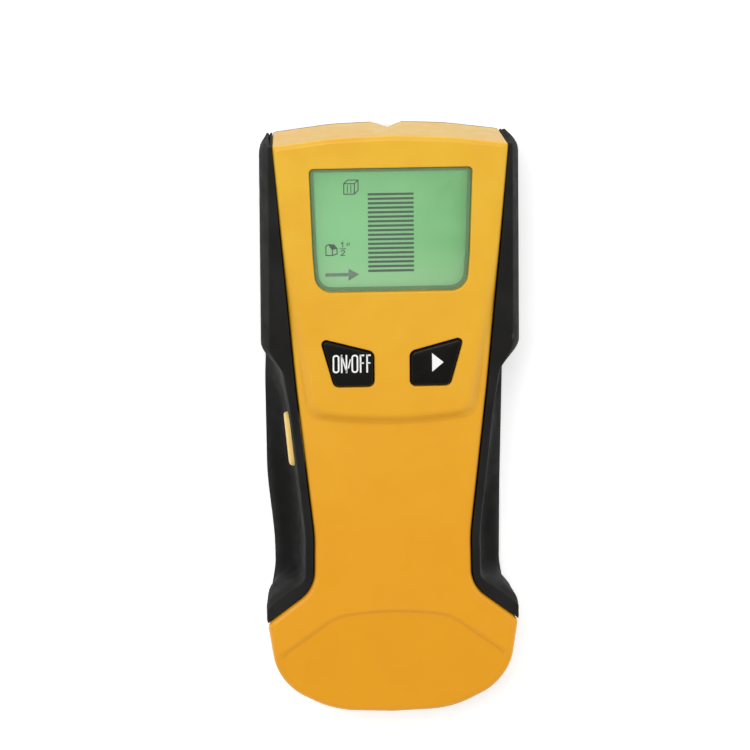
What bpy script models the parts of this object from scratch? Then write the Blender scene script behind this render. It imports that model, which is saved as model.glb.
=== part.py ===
"""Hand-held stud finder: front and back shells with rubber side grips, a display, two face buttons,
a thumb button on the side, and a 9 V battery behind a hinged door.

It lies on its back: +Y is the head, +Z comes out of the face and -X is the thumb button's side.
The origin is the middle of the flat back. Sizes are in millimetres; MM turns them into metres.
"""

import math

import bmesh
import bpy
from mathutils import Matrix, Vector

MM = 0.001

# ------------------------------------------------------------------ driving dimensions
FACE_Z = 32.5  # the flat panel round the display and the face buttons
HANDLE_Z = 30.4  # the face below the panel
PART_Z = 12.0  # where the shells meet
WALL = 2.0
GAP = 0.3  # between pieces that touch
HEAD_Y = 77.5  # the head end at the parting line
PLATE_T = 3.0  # the back shell's wide foot plate

# Half outlines, head to foot down the left side: corner x, corner y, fillet radius, steps in the fillet.
BODY_HALF = [
    (0.0, 76.9, 0.0, 0),
    (-15.4, 76.3, 60.0, 2),
    (-30.8, 74.4, 0.6, 2),
    (-24.8, 9.7, 300.0, 2),
    (-20.4, -29.5, 40.0, 3),
    (-20.6, -43.4, 9.0, 4),
    (-32.9, -52.6, 2.6, 3),
    (-30.3, -69.2, 16.0, 7),
    (-15.5, -76.9, 26.0, 3),
    (0.0, -77.5, 0.0, 0),
]
PLATE_HALF = [
    (0.0, 75.4, 0.0, 0),
    (-15.4, 74.8, 60.0, 2),
    (-31.0, 72.6, 4.5, 4),
    (-30.8, 12.0, 300.0, 2),
    (-29.4, -40.0, 60.0, 2),
    (-30.0, -54.0, 20.0, 3),
    (-27.6, -67.5, 15.0, 6),
    (-13.0, -74.6, 30.0, 3),
    (0.0, -75.2, 0.0, 0),
]
WINDOW_HALF = [(0.0, 68.5, 0.0, 0), (-21.3, 68.5, 1.2, 3), (-20.5, 46.0, 80.0, 2), (-19.7, 35.8, 4.6, 5),
               (0.0, 35.8, 0.0, 0)]
BUTTON_CORNERS = [(-18.9, 23.8, 1.2, 3), (-15.2, 10.7, 1.8, 3), (-4.6, 10.7, 1.6, 3), (-4.6, 20.0, 1.9, 3)]
BOARD_HALF = [(0.0, 69.6, 0.0, 0), (-23.4, 69.6, 1.5, 1), (-20.2, 12.0, 3.0, 1), (-17.4, 6.0, 3.0, 1),
              (-17.4, -8.0, 1.5, 1), (0.0, -8.0, 0.0, 0)]

PANEL_END_Y, PANEL_FLANK = 3.3, 3.0
CREASE_Y, CREASE_BOW, CREASE_BEND_X, CREASE_SLOPE, BULB_TIP = -49.4, 0.0065, 15.5, 0.72, 0.09
HEAD_DRAFT, HEAD_TUCK, HEAD_LEAN, BULB_DRAFT = 0.6, 2.2, 1.2, 1.8
EDGE = 1.2

BUTTON_X, BUTTON_Y, BUTTON_TOP = 10.8, 16.4, 33.0
FLANGE_Z0, FLANGE_Z1, FLANGE_OUT = 29.0, 30.1, 0.9
CAP_EDGE = 0.5
SWITCH_HALF = 3.0
GRIP_HEAD, GRIP_FOOT, GRIP_HALF, GRIP_LEAN = 74.4, -52.4, 34.0, 1.7
THUMB_REST = 1.7  # how far the left grip's foot stands out under the thumb button
SIDE_Y, SIDE_Z = -4.6, 22.3
SIDE_INNER_X, SIDE_FLANGE_X = -18.5, -19.0
SIDE_LONG, SIDE_TALL, SIDE_FACE_X, SIDE_SLANT = 14.3, 6.4, -27.9, 0.10

BOARD_Z, BOARD_TOP = 22.4, 24.0
SCREEN_X, SCREEN_Y0, SCREEN_Y1, SCREEN_TOP = 21.9, 34.8, 69.6, 30.0
LENS_Z, LENS_TOP = 31.0, 32.0
TUB_X, TUB_Y0, TUB_Y1, TUB_ROOF, TUB_WALL = 14.0, -67.6, -11.0, 20.3, 2.0
DOOR_X, DOOR_T, HINGE_Y, DOOR_END_Y = 14.7, 1.5, -68.9, -9.6
HINGE_Z = DOOR_T / 2
PIN_R = 0.6
RIBS_X = (-9.0, 0.0, 9.0)
FINGER_GROOVES_Y = (-20.5, -18.4, -16.3, -14.2)
BATTERY_X, BATTERY_Y0, BATTERY_Y1, BATTERY_Z0, BATTERY_Z1 = 13.1, -67.0, -20.8, 2.4, 19.6
BATTERY_POSTS = [(2.8, -6.35), (3.9, 6.35)]  # radius and x
CASE_SCREWS = [(-14.0, 72.1), (14.0, 72.1), (-22.6, -59.5), (22.6, -59.5)]
SCREW_Z0, SCREW_Z1, SCREW_TIP_Z, SHANK_R, BOSS_R = 5.6, 7.7, 19.5, 0.95, 2.3
BOARD_SCREWS = [(-18.6, 29.0), (18.6, 29.0), (0.0, -4.4)]
SENSOR_X, SENSOR_Y0, SENSOR_Y1 = 23.0, 14.0, 66.0
BUZZER, CAPACITOR = (8.5, 7.0), (-6.0, 7.0)
NOTCH_SPREAD, NOTCH_DEPTH, NOTCH_TOP = 2.4, 1.6, 20.0


def clamp(t):
    return min(1.0, max(0.0, t))


def smooth(t):
    t = clamp(t)
    return t * t * (3.0 - 2.0 * t)


def lerp(a, b, t):
    return a + (b - a) * t


# ------------------------------------------------------------------ the face
def panel_half(y):
    """Half width of the raised panel's flat."""
    return 19.8 + 4.4 * clamp((y - 7.0) / 27.0) + 2.5 * clamp((y - 34.0) / 41.0)


def crease_y(x):
    """Where the fold across the bulb runs."""
    beyond = max(0.0, abs(x) - CREASE_BEND_X)
    return CREASE_Y - CREASE_BOW * min(abs(x), CREASE_BEND_X) ** 2 - CREASE_SLOPE * beyond


def face_height(x, y):
    """Height of the outer face: a crowned base, the raised panel, and the bulb that tips away."""
    base = lerp(HANDLE_Z, FACE_Z, smooth((y - 8.0) / 52.0))
    base -= 0.5 * (x / 28.0) ** 2 * smooth((60.0 - y) / 40.0)
    base -= BULB_TIP * max(0.0, crease_y(x) - y)
    away = max(abs(x) - panel_half(y), PANEL_END_Y + 0.004 * x * x - y)
    return lerp(FACE_Z, base, smooth(away / PANEL_FLANK))


# ------------------------------------------------------------------ outlines
def mirrored(half):
    return half + [(-x, y, r, n) for x, y, r, n in reversed(half[1:-1])]


def inset_corners(corners, inset):
    """The corners of an outline moved inwards, with the fillets kept concentric and never below 0.4 mm."""
    moved = []
    for i, (x, y, r, n) in enumerate(corners):
        before = (Vector((x, y)) - Vector(corners[i - 1][:2])).normalized()
        after = (Vector(corners[(i + 1) % len(corners)][:2]) - Vector((x, y))).normalized()
        left, right = Vector((-before.y, before.x)), Vector((-after.y, after.x))
        shift = (left + right) * inset / (1.0 + left.dot(right))
        turn = before.x * after.y - before.y * after.x
        radius = r - math.copysign(inset, turn) if n else 0.0
        moved.append((x + shift.x, y + shift.y, max(radius, 0.4), n))
    return moved


def outline(corners, longest=200.0, inset=0.0):
    """Points round an outline with an arc at each corner. Long straight stretches are cut up."""
    spans = [(Vector(b[:2]) - Vector(a[:2])).length for a, b in zip(corners, corners[1:] + corners[:1])]
    corners = inset_corners(corners, inset) if inset else corners
    arcs = []
    for i, (x, y, r, n) in enumerate(corners):
        corner = Vector((x, y))
        before = (corner - Vector(corners[i - 1][:2])).normalized()
        after = (Vector(corners[(i + 1) % len(corners)][:2]) - corner).normalized()
        turn = before.x * after.y - before.y * after.x
        angle = math.atan2(turn, before.dot(after))
        if n == 0 or abs(angle) < 0.001:
            arcs.append([corner])
            continue
        start = corner - before * r * math.tan(abs(angle) / 2.0)
        centre = start + Vector((-before.y, before.x)) * math.copysign(r, turn)
        arcs.append([centre + Matrix.Rotation(angle * k / n, 2) @ (start - centre) for k in range(n + 1)])
    points = []
    for i, arc in enumerate(arcs):
        points += arc
        gap = arcs[(i + 1) % len(arcs)][0] - arc[-1]
        pieces = math.ceil(spans[i] / longest)
        points += [arc[-1] + gap * k / pieces for k in range(1, pieces)]
    return points


def grown(points, distance):
    """Points moved along the outline's outward normal."""
    moved = []
    for i, p in enumerate(points):
        along = (points[(i + 1) % len(points)] - points[i - 1]).normalized()
        moved.append(p + Vector((along.y, -along.x)) * distance)
    return moved


def drafted(points):
    """The outline at the parting line: the head end stands out a little, its sides and the bulb draw in."""
    moved = []
    for p in points:
        inward = (BULB_DRAFT * smooth((-46.0 - p.y) / 9.0) + HEAD_LEAN * smooth((p.y - 62.0) / 12.0)) / 33.0
        lift = HEAD_DRAFT * clamp((p.y - 72.0) / 2.4) + BULB_DRAFT * smooth((-60.0 - p.y) / 17.0)
        moved.append(Vector((p.x * (1.0 - inward), p.y + lift)))
    return moved


def tucked(points):
    """The outline lower down the back: the head end slopes in towards the wall side."""
    return [Vector((p.x, p.y - HEAD_TUCK * smooth((p.y - 60.0) / 13.0))) for p in points]


# ------------------------------------------------------------------ solids
def add_loop(bm, points, height):
    """A ring of vertices at a height, which is a number or a function of x and y."""
    level = height if callable(height) else (lambda x, y: height)
    return [bm.verts.new((p[0], p[1], level(p[0], p[1]))) for p in points]


def bridge(bm, low, high):
    for i in range(len(low)):
        j = (i + 1) % len(low)
        bm.faces.new((low[i], low[j], high[j], high[i]))


def loft(*rings):
    """A closed solid through rings given as (points, height)."""
    bm = bmesh.new()
    loops = [add_loop(bm, points, height) for points, height in rings]
    for low, high in zip(loops, loops[1:]):
        bridge(bm, low, high)
    bm.faces.new(loops[0])
    bm.faces.new(loops[-1])
    return bm


def block(x0, x1, y0, y1, z0, z1):
    corners = [Vector(c) for c in ((x0, y0), (x1, y0), (x1, y1), (x0, y1))]
    return loft((corners, z0), (corners, z1))


def rod(radius, start, end, sides=20, end_radius=None):
    """A round bar between two points."""
    axis = Vector(end) - Vector(start)
    bm = bmesh.new()
    top = radius if end_radius is None else end_radius
    turn = axis.to_track_quat("Z", "Y").to_matrix().to_4x4()
    centre = Matrix.Translation((Vector(start) + Vector(end)) / 2.0)
    bmesh.ops.create_cone(bm, cap_ends=True, segments=sides, radius1=radius, radius2=top,
                          depth=axis.length, matrix=centre @ turn)
    return bm


def tube(outer, inner, x, y, z0, z1, sides=24):
    """A plain ring."""
    bm = bmesh.new()
    circles = []
    for radius, z in ((inner, z0), (outer, z0), (outer, z1), (inner, z1)):
        turns = [2.0 * math.pi * k / sides for k in range(sides)]
        spots = [(x + radius * math.cos(a), y + radius * math.sin(a), z) for a in turns]
        circles.append([bm.verts.new(spot) for spot in spots])
    for i in range(4):
        bridge(bm, circles[i], circles[(i + 1) % 4])
    return bm


def frame_ring(outer, inner, z0, z1):
    """A flat frame between two outlines with the same number of points."""
    bm = bmesh.new()
    corners = ((outer, z0), (outer, z1), (inner, z1), (inner, z0))
    loops = [add_loop(bm, points, z) for points, z in corners]
    for i in range(4):
        bridge(bm, loops[i], loops[(i + 1) % 4])
    return bm


def face_outwards(solid):
    bmesh.ops.recalc_face_normals(solid, faces=solid.faces)
    if solid.calc_volume(signed=True) < 0.0:
        bmesh.ops.reverse_faces(solid, faces=solid.faces)


def together(*solids):
    """Several separate closed solids in one mesh, for a cutter."""
    bm = bmesh.new()
    for solid in solids:
        mesh = bpy.data.meshes.new("scratch")
        face_outwards(solid)
        solid.to_mesh(mesh)
        bm.from_mesh(mesh)
        bpy.data.meshes.remove(mesh)
    return bm


# ------------------------------------------------------------------ objects and materials
def material(name, colour, roughness, metallic=0.0, transmission=0.0):
    made = bpy.data.materials.new(name)
    made.use_nodes = True
    shader = made.node_tree.nodes["Principled BSDF"]
    shader.inputs["Base Color"].default_value = (*colour, 1.0)
    shader.inputs["Roughness"].default_value = roughness
    shader.inputs["Metallic"].default_value = metallic
    shader.inputs["Transmission Weight"].default_value = transmission
    made.diffuse_color = (*colour, 1.0)
    return made


def piece(name, solid, look, origin=(0.0, 0.0, 0.0), crease=35.0):
    """An object made from a solid in millimetres, with its origin where it is told."""
    mesh = bpy.data.meshes.new(name)
    face_outwards(solid)
    bmesh.ops.translate(solid, verts=solid.verts, vec=-Vector(origin))
    bmesh.ops.scale(solid, verts=solid.verts, vec=(MM, MM, MM))
    solid.to_mesh(mesh)
    mesh.materials.append(look)
    mesh.shade_smooth()
    mesh.set_sharp_from_angle(angle=math.radians(crease))
    made = bpy.data.objects.new(name, mesh)
    made.location = Vector(origin) * MM
    bpy.context.scene.collection.objects.link(made)
    return made


def combine(target, operation, name, solid):
    """Cuts a solid out of an object or adds it on."""
    tool = piece(name, solid, target.data.materials[0])
    tool.hide_render = True
    tool.display_type = "WIRE"
    step = target.modifiers.new(name, "BOOLEAN")
    step.operation = operation
    step.object = tool
    return tool


def body_skin(bm, inset, bottom):
    """The body's side and face, moved inwards, with the face's edge rounded. Returns the lowest ring."""
    points = body_points(inset=inset)
    count = len(points)
    top = lambda x, y: face_height(x, y) - inset
    low = add_loop(bm, drafted(points), bottom)
    side = add_loop(bm, points, lambda x, y: top(x, y) - EDGE)
    turned = add_loop(bm, body_points(inset=inset + 0.3 * EDGE), lambda x, y: top(x, y) - 0.3 * EDGE)
    inner = add_loop(bm, body_points(inset=inset + EDGE), top)
    bridge(bm, low, side)
    bridge(bm, side, turned)
    bridge(bm, turned, inner)
    half = count // 2
    rows = []
    for i in range(1, half):
        left, right = inner[i], inner[count - i]
        y, wide = left.co.y, right.co.x
        flat = min(panel_half(y), wide - PANEL_FLANK - 0.4) if wide > 8.0 else 0.6 * wide
        spread = [flat * f for f in (0.3, 0.66, 1.0)] + [lerp(flat, wide, f) for f in (0.35, 0.75)]
        across = [-x for x in reversed(spread)] + [0.0] + spread
        rows.append([left] + [bm.verts.new((x, y, top(x, y))) for x in across] + [right])
    for upper, lower in zip(rows, rows[1:]):
        for k in range(len(upper) - 1):
            bm.faces.new((upper[k], lower[k], lower[k + 1], upper[k + 1]))
    for tip, row in ((inner[0], rows[0]), (inner[half], rows[-1])):
        for a, b in zip(row, row[1:]):
            bm.faces.new((tip, a, b))
    return low


# ------------------------------------------------------------------ the case
def body_points(longest=5.0, inset=0.0):
    return outline(mirrored(BODY_HALF), longest, inset)


def button_corners(side):
    """Corners of a face button, for the left (-1) or right (1) one, in the same turning direction."""
    corners = [(x * -side, y, r, n) for x, y, r, n in BUTTON_CORNERS]
    return corners if side < 0 else list(reversed(corners))


def make_front_shell(look):
    bm = bmesh.new()
    outer = body_skin(bm, 0.0, PART_Z + GAP / 2)
    inner = body_skin(bm, WALL, PART_Z + GAP / 2)
    bridge(bm, outer, inner)
    shell = piece("front_shell", bm, look, crease=30.0)

    bosses = [rod(2.6, (x, y, BOARD_TOP + GAP), (x, y, face_height(x, y) - WALL / 2))
              for x, y in BOARD_SCREWS]
    bosses += [rod(BOSS_R, (x, y, PART_Z + GAP / 2), (x, y, face_height(x, y) - WALL / 2))
               for x, y in CASE_SCREWS]
    combine(shell, "UNION", "front_bosses", together(*bosses))

    holes = [rod(1.0, (x, y, BOARD_TOP - 1.0), (x, y, 27.5), 12) for x, y in BOARD_SCREWS]
    holes += [rod(SHANK_R + GAP, (x, y, PART_Z - 1.0), (x, y, 22.0), 12) for x, y in CASE_SCREWS]
    holes.append(loft((outline(mirrored(WINDOW_HALF)), 26.0), (outline(mirrored(WINDOW_HALF)), 36.0)))
    for side in (-1, 1):
        opening = outline(button_corners(side))
        holes.append(loft((opening, 27.0), (opening, 36.0)))
    holes.append(side_opening(-30.0))
    holes.append(notch())
    combine(shell, "DIFFERENCE", "front_openings", together(*holes))
    return shell


def side_opening(from_x):
    """The opening the thumb button slides in, with its gap."""
    long, tall = SIDE_LONG / 2 + GAP, SIDE_TALL / 2 + GAP
    return block(from_x, SIDE_INNER_X, SIDE_Y - long, SIDE_Y + long, SIDE_Z - tall, SIDE_Z + tall)


def notch():
    """The marking notch: a V cut in the head end that follows its slope and runs out up the front shell."""
    out = HEAD_Y + 3.0
    depths = ((-2.0, NOTCH_DEPTH + HEAD_TUCK + 0.4), (PART_Z, NOTCH_DEPTH),
              (NOTCH_TOP, 0.0), (NOTCH_TOP + 2.0, -0.4))
    rings = []
    for z, deep in depths:
        y = HEAD_Y - deep
        reach = NOTCH_SPREAD * (out - y)
        rings.append(([Vector((-reach, out)), Vector((0.0, y)), Vector((reach, out))], z))
    return loft(*rings)


def make_back_shell(look):
    plate = outline(mirrored(PLATE_HALF))
    shell = piece("back_shell", loft((grown(plate, -0.9), 0.0), (grown(plate, -0.25), 0.35), (plate, 1.1),
                                     (plate, PLATE_T)), look)
    points = drafted(body_points(9.0))
    low = tucked(drafted(body_points(9.0, 0.5)))
    combine(shell, "UNION", "back_wall", loft((low, 0.6), (points, PART_Z - GAP / 2)))
    hollow = drafted(body_points(9.0, WALL))
    combine(shell, "DIFFERENCE", "back_hollow", loft((tucked(hollow), WALL), (hollow, PART_Z + 1.0)))

    wide = TUB_X + TUB_WALL
    added = [block(-wide, wide, TUB_Y0 - TUB_WALL, TUB_Y1 + TUB_WALL, 1.0, TUB_ROOF + TUB_WALL)]
    added += [rod(screw_head(y) + 1.0 if y < 0 else BOSS_R, (x, y, 1.0), (x, y, PART_Z - GAP / 2))
              for x, y in CASE_SCREWS]
    combine(shell, "UNION", "back_tub", together(*added))

    combine(shell, "DIFFERENCE", "tub_hollow", block(-TUB_X, TUB_X, TUB_Y0, TUB_Y1, 1.0, TUB_ROOF))
    end = HINGE_Y - DOOR_T / 2 - GAP
    recess = block(-DOOR_X - GAP, DOOR_X + GAP, end, DOOR_END_Y + GAP, -1.0, DOOR_T + GAP)
    combine(shell, "DIFFERENCE", "door_recess", recess)
    pins = rod(PIN_R + GAP, (-DOOR_X - 1.5, HINGE_Y, HINGE_Z), (DOOR_X + 1.5, HINGE_Y, HINGE_Z), 16)
    lead_gap = block(-8.0, 8.0, TUB_Y1 - 1.0, TUB_Y1 + TUB_WALL + 1.0, 9.0, 15.0)
    cuts = [pins, lead_gap, notch()]
    for x, y in CASE_SCREWS:
        cuts.append(rod(screw_head(y) + GAP, (x, y, -1.0), (x, y, SCREW_Z1 + GAP)))
    combine(shell, "DIFFERENCE", "back_openings", together(*cuts))
    shanks = [rod(SHANK_R + 0.5, (x, y, SCREW_Z0), (x, y, PART_Z + 1.0), 12) for x, y in CASE_SCREWS]
    combine(shell, "DIFFERENCE", "screw_holes", together(*shanks))
    return shell


def half_width(y):
    """Half width of the body's outline at a given y, read from its own points."""
    points = [p for p in body_points() if p.x < 0.0]
    for a, b in zip(points, points[1:]):
        if a.y >= y >= b.y:
            return -lerp(a.x, b.x, (a.y - y) / max(a.y - b.y, 1e-6))
    return 30.0


def end_slope(y, z):
    """How far a grip's head end moves along the tool, to follow the slopes of the shells it lies on."""
    shift = HEAD_DRAFT * clamp((29.0 - z) / 17.0) - HEAD_TUCK * clamp((12.0 - z) / 9.0)
    return shift * smooth((y - 64.0) / 10.0)


def thumb_rest(y):
    return THUMB_REST * smooth((y + 38.0) / 24.0) * smooth((34.0 - y) / 28.0)


def grip_section(y, rest):
    """The outside of a grip at y, as (distance from the middle, height), from the face round to the back."""
    body = half_width(y)
    face = face_height(body - EDGE, y)
    strip = lerp(body + 2.4, half_width(max(y - 3.6, -52.8)) + 0.5, smooth((-39.0 - y) / 5.0))
    cheek = [(31.8, face - 1.2), (33.9, 25.0), (33.5, 18.0), (33.0, 12.0), (32.5, 7.0), (32.2, PLATE_T + GAP)]
    waist = [(strip, face - 0.6), (strip + 0.5, 25.0), (strip + 0.5, 18.0), (strip + 1.3, 11.5),
             (28.6 + rest, 6.4), (30.2 + 0.012 * y + rest, PLATE_T + GAP)]
    horn = [(strip, face - 0.8), (33.1, 26.5), (32.4, 18.0), (31.7, 12.0), (31.1, 7.0), (30.8, PLATE_T + GAP)]
    to_cheek = 0.8 * smooth((y - 13.0) / 8.5) + 0.2 * smooth((y - 2.0) / 19.0)
    to_horn = smooth((-40.5 - y) / 10.0)
    blend = [[lerp(w[k], c[k], to_cheek) for k in (0, 1)] for w, c in zip(waist, cheek)]
    blend = [[lerp(b[k], h[k], to_horn) for k in (0, 1)] for b, h in zip(blend, horn)]
    corner = GRIP_HALF - 0.45 * max(0.0, y - 72.6)
    lean = GRIP_LEAN * smooth((y - 71.0) / 3.4)
    outside = [(min(u, corner) - lean * clamp((29.0 - z) / 17.0), z) for u, z in blend]
    return [(17.0, face - 0.2), (body + 0.5, face - 0.2)] + outside + [(17.0, PLATE_T + GAP)]


def body_half_beyond_head(past):
    """The body's half outline with its head end moved out along the flare of its sides."""
    flare = (BODY_HALF[3][0] - BODY_HALF[2][0]) / (BODY_HALF[2][1] - BODY_HALF[3][1])
    moved = [(x - flare * past if x else x, y + past, r, n) for x, y, r, n in BODY_HALF[:3]]
    return moved + BODY_HALF[3:]


def make_grip(name, side, look):
    """A rubber grip: sections along its length, then the body is cut out of it with a gap."""
    stations = [GRIP_HEAD, 73.5, 72.4, 71.0] + [lerp(66.0, 26.0, k / 4.0) for k in range(5)]
    stations += [21.5, 20.0, 18.0, 16.0, 14.0, 11.0, 7.0, 2.0]
    stations += [lerp(-4.0, -34.0, k / 4.0) for k in range(5)]
    stations += [lerp(-37.0, GRIP_FOOT, k / 12.0) for k in range(13)]
    bm = bmesh.new()
    loops = []
    for y in stations:
        rest = thumb_rest(y) if side < 0 else 0.0
        loops.append([bm.verts.new((side * u, y + end_slope(y, z), z)) for u, z in grip_section(y, rest)])
    for a, b in zip(loops, loops[1:]):
        bridge(bm, a, b)
    bm.faces.new(loops[0])
    bm.faces.new(loops[-1])
    grip = piece(name, bm, look, crease=28.0)
    long_body = outline(mirrored(body_half_beyond_head(6.0)), 9.0)
    low, high = grown(drafted(long_body), GAP), grown(long_body, GAP)
    bed = loft((low, 0.0), (low, PART_Z), (high, HANDLE_Z - EDGE), (high, 40.0))
    combine(grip, "DIFFERENCE", name + "_bed", bed)
    if side < 0:
        combine(grip, "DIFFERENCE", name + "_slot", side_opening(-40.0))
    return grip


# ------------------------------------------------------------------ what moves
def make_face_button(name, side, look):
    cap = outline(button_corners(side))
    body = grown(cap, -GAP)
    flange = grown(cap, FLANGE_OUT)
    bm = loft((flange, FLANGE_Z0), (flange, FLANGE_Z1 - 0.3), (body, FLANGE_Z1),
              (body, BUTTON_TOP - CAP_EDGE), (grown(body, -CAP_EDGE), BUTTON_TOP))
    return piece(name, bm, look, origin=(side * BUTTON_X, BUTTON_Y, BUTTON_TOP))


def make_side_button(look):
    """The cap reaches through the grip and the shell to a flange inside. It stands on its edge."""
    y0, y1 = SIDE_Y - SIDE_LONG / 2, SIDE_Y + SIDE_LONG / 2
    z0, z1 = SIDE_Z - SIDE_TALL / 2, SIDE_Z + SIDE_TALL / 2
    stations = ((SIDE_FLANGE_X, 1.0, 0.0), (SIDE_FLANGE_X - 0.9, 1.0, 0.0), (SIDE_FLANGE_X - 1.0, 0.0, 0.0),
                (SIDE_FACE_X + 0.6, 0.0, SIDE_SLANT), (SIDE_FACE_X, -0.8, SIDE_SLANT))
    bm = bmesh.new()
    rings = []
    for x, grow, slant in stations:
        low, high, foot, head = z0 - grow, z1 + grow, y0 - grow, y1 + grow
        corners = ((foot, low), (head, low), (head, high), (foot, high))
        rings.append([bm.verts.new((x + slant * (y1 - 0.8 - y), y, z)) for y, z in corners])
    for a, b in zip(rings, rings[1:]):
        bridge(bm, a, b)
    bm.faces.new(rings[0])
    bm.faces.new(rings[-1])
    return piece("side_button", bm, look, origin=(SIDE_FACE_X, SIDE_Y, SIDE_Z))


def make_switch(name, x, y, look, plunger_look):
    """A tactile switch on the board under a face button, and its plunger, which travels with the button."""
    top = FLANGE_Z0 - GAP
    half = SWITCH_HALF
    switch = piece(name, block(x - half, x + half, y - half, y + half, BOARD_TOP + GAP, top - 0.9), look)
    combine(switch, "DIFFERENCE", name + "_bore", rod(2.0, (x, y, top - 3.0), (x, y, top)))
    piece(name + "_plunger", rod(1.7, (x, y, top - 2.1), (x, y, top)), plunger_look, origin=(x, y, top))


def make_side_switch(look, plunger_look):
    """The switch under the board that the thumb button works from the side."""
    z, tip = 20.0, SIDE_FLANGE_X + GAP
    box = block(tip + 1.1, tip + 5.1, SIDE_Y - SWITCH_HALF, SIDE_Y + SWITCH_HALF, z - 2.4, BOARD_Z - GAP)
    switch = piece("side_switch", box, look)
    bore = rod(1.6, (tip - 0.3, SIDE_Y, z), (tip + 3.9, SIDE_Y, z))
    combine(switch, "DIFFERENCE", "side_switch_bore", bore)
    piece("side_switch_plunger", rod(1.3, (tip, SIDE_Y, z), (tip + 2.6, SIDE_Y, z)), plunger_look,
          origin=(tip, SIDE_Y, z))


def make_door(look):
    """The battery door swings about two pins in the shell at its foot end."""
    steps = 6
    bm = bmesh.new()
    profile = [(DOOR_END_Y, DOOR_T), (HINGE_Y, DOOR_T)]
    for k in range(1, steps):
        a = math.pi / 2 + math.pi * k / steps
        profile.append((HINGE_Y + DOOR_T / 2 * math.cos(a), HINGE_Z + DOOR_T / 2 * math.sin(a)))
    profile += [(HINGE_Y, 0.0), (DOOR_END_Y, 0.0)]
    left = [bm.verts.new((-DOOR_X, y, z)) for y, z in profile]
    right = [bm.verts.new((DOOR_X, y, z)) for y, z in profile]
    bridge(bm, left, right)
    bm.faces.new(left)
    bm.faces.new(right)
    door = piece("battery_door", bm, look, origin=(0.0, HINGE_Y, HINGE_Z))
    pins = [rod(PIN_R, (s * (DOOR_X - 1.0), HINGE_Y, HINGE_Z), (s * (DOOR_X + 1.0), HINGE_Y, HINGE_Z), 12)
            for s in (-1, 1)]
    ribs = [block(x - 0.6, x + 0.6, -62.0, -16.0, DOOR_T - 0.5, DOOR_T + 0.5) for x in RIBS_X]
    combine(door, "UNION", "door_pins", together(*pins, *ribs))
    grooves = [block(-6.5, 6.5, y - 0.5, y + 0.5, -1.0, 0.5) for y in FINGER_GROOVES_Y]
    combine(door, "DIFFERENCE", "door_grooves", together(*grooves))
    return door


# ------------------------------------------------------------------ the display
def make_display(looks):
    window = outline(mirrored(WINDOW_HALF))
    lens = loft((grown(window, -GAP), LENS_Z), (grown(window, -GAP), LENS_TOP))
    piece("lcd_window", lens, looks["clear"])
    gasket = frame_ring(grown(window, -GAP), grown(window, -1.1), SCREEN_TOP + GAP, LENS_Z - GAP)
    piece("window_gasket", gasket, looks["rubber"])
    screen_low = SCREEN_TOP - 1.2
    piece("lcd_glass", block(-SCREEN_X, SCREEN_X, SCREEN_Y0, SCREEN_Y1, screen_low, SCREEN_TOP),
          looks["screen"])
    light_top = SCREEN_Y1 - 3.4
    piece("lcd_backlight", block(-SCREEN_X + 1.2, SCREEN_X, SCREEN_Y0, light_top, BOARD_TOP + GAP,
                                 screen_low - GAP), looks["diffuser"])
    piece("zebra_strip", block(-20.0, 20.0, light_top + 0.5, SCREEN_Y1 - 0.4, BOARD_TOP + GAP,
                               screen_low - GAP), looks["rubber"])
    for i, y in enumerate((42.0, 58.0), 1):
        x = -SCREEN_X + 1.2 - GAP
        piece(f"backlight_led_{i}", block(x - 1.1, x, y - 1.5, y + 1.5, BOARD_TOP + GAP, 25.3), looks["led"])


# ------------------------------------------------------------------ the electronics
def make_boards(looks):
    board_points = outline(mirrored(BOARD_HALF))
    board = piece("main_board", loft((board_points, BOARD_Z), (board_points, BOARD_TOP)), looks["board"])
    holes = [rod(1.3, (x, y, BOARD_Z - 1.0), (x, y, BOARD_TOP + 1.0), 12) for x, y in BOARD_SCREWS]
    combine(board, "DIFFERENCE", "board_holes", together(*holes))
    under = BOARD_Z - GAP
    for i, (x, y) in enumerate(BOARD_SCREWS, 1):
        screw = piece(f"board_screw_{i}", rod(1.9, (x, y, under - 1.2), (x, y, under)), looks["steel"])
        combine(screw, "UNION", f"board_shank_{i}", rod(0.7, (x, y, under - 0.6), (x, y, under + 5.1), 10))
    low = WALL + GAP
    on_sensor = low + 1.0 + GAP
    piece("sensor_board", block(-SENSOR_X, SENSOR_X, SENSOR_Y0, SENSOR_Y1, low, low + 1.0), looks["board"])
    piece("sensing_coil", tube(16.0, 11.5, 0.0, 44.0, on_sensor, on_sensor + 3.0, 32), looks["copper"])
    piece("board_connector", block(-7.6, 7.6, 17.0, 19.5, on_sensor, under), looks["black"])
    piece("processor", block(-5.0, 5.0, 38.0, 48.0, under - 1.4, under), looks["black"])
    x, y = BUZZER
    buzzer = piece("buzzer", rod(5.5, (x, y, under - 4.9), (x, y, under), 28), looks["black"])
    combine(buzzer, "DIFFERENCE", "buzzer_hole", rod(1.0, (x, y, under - 6.0), (x, y, under - 3.0), 12))
    x, y = CAPACITOR
    piece("capacitor", rod(2.5, (x, y, under - 5.9), (x, y, under)), looks["aluminium"])


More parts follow.
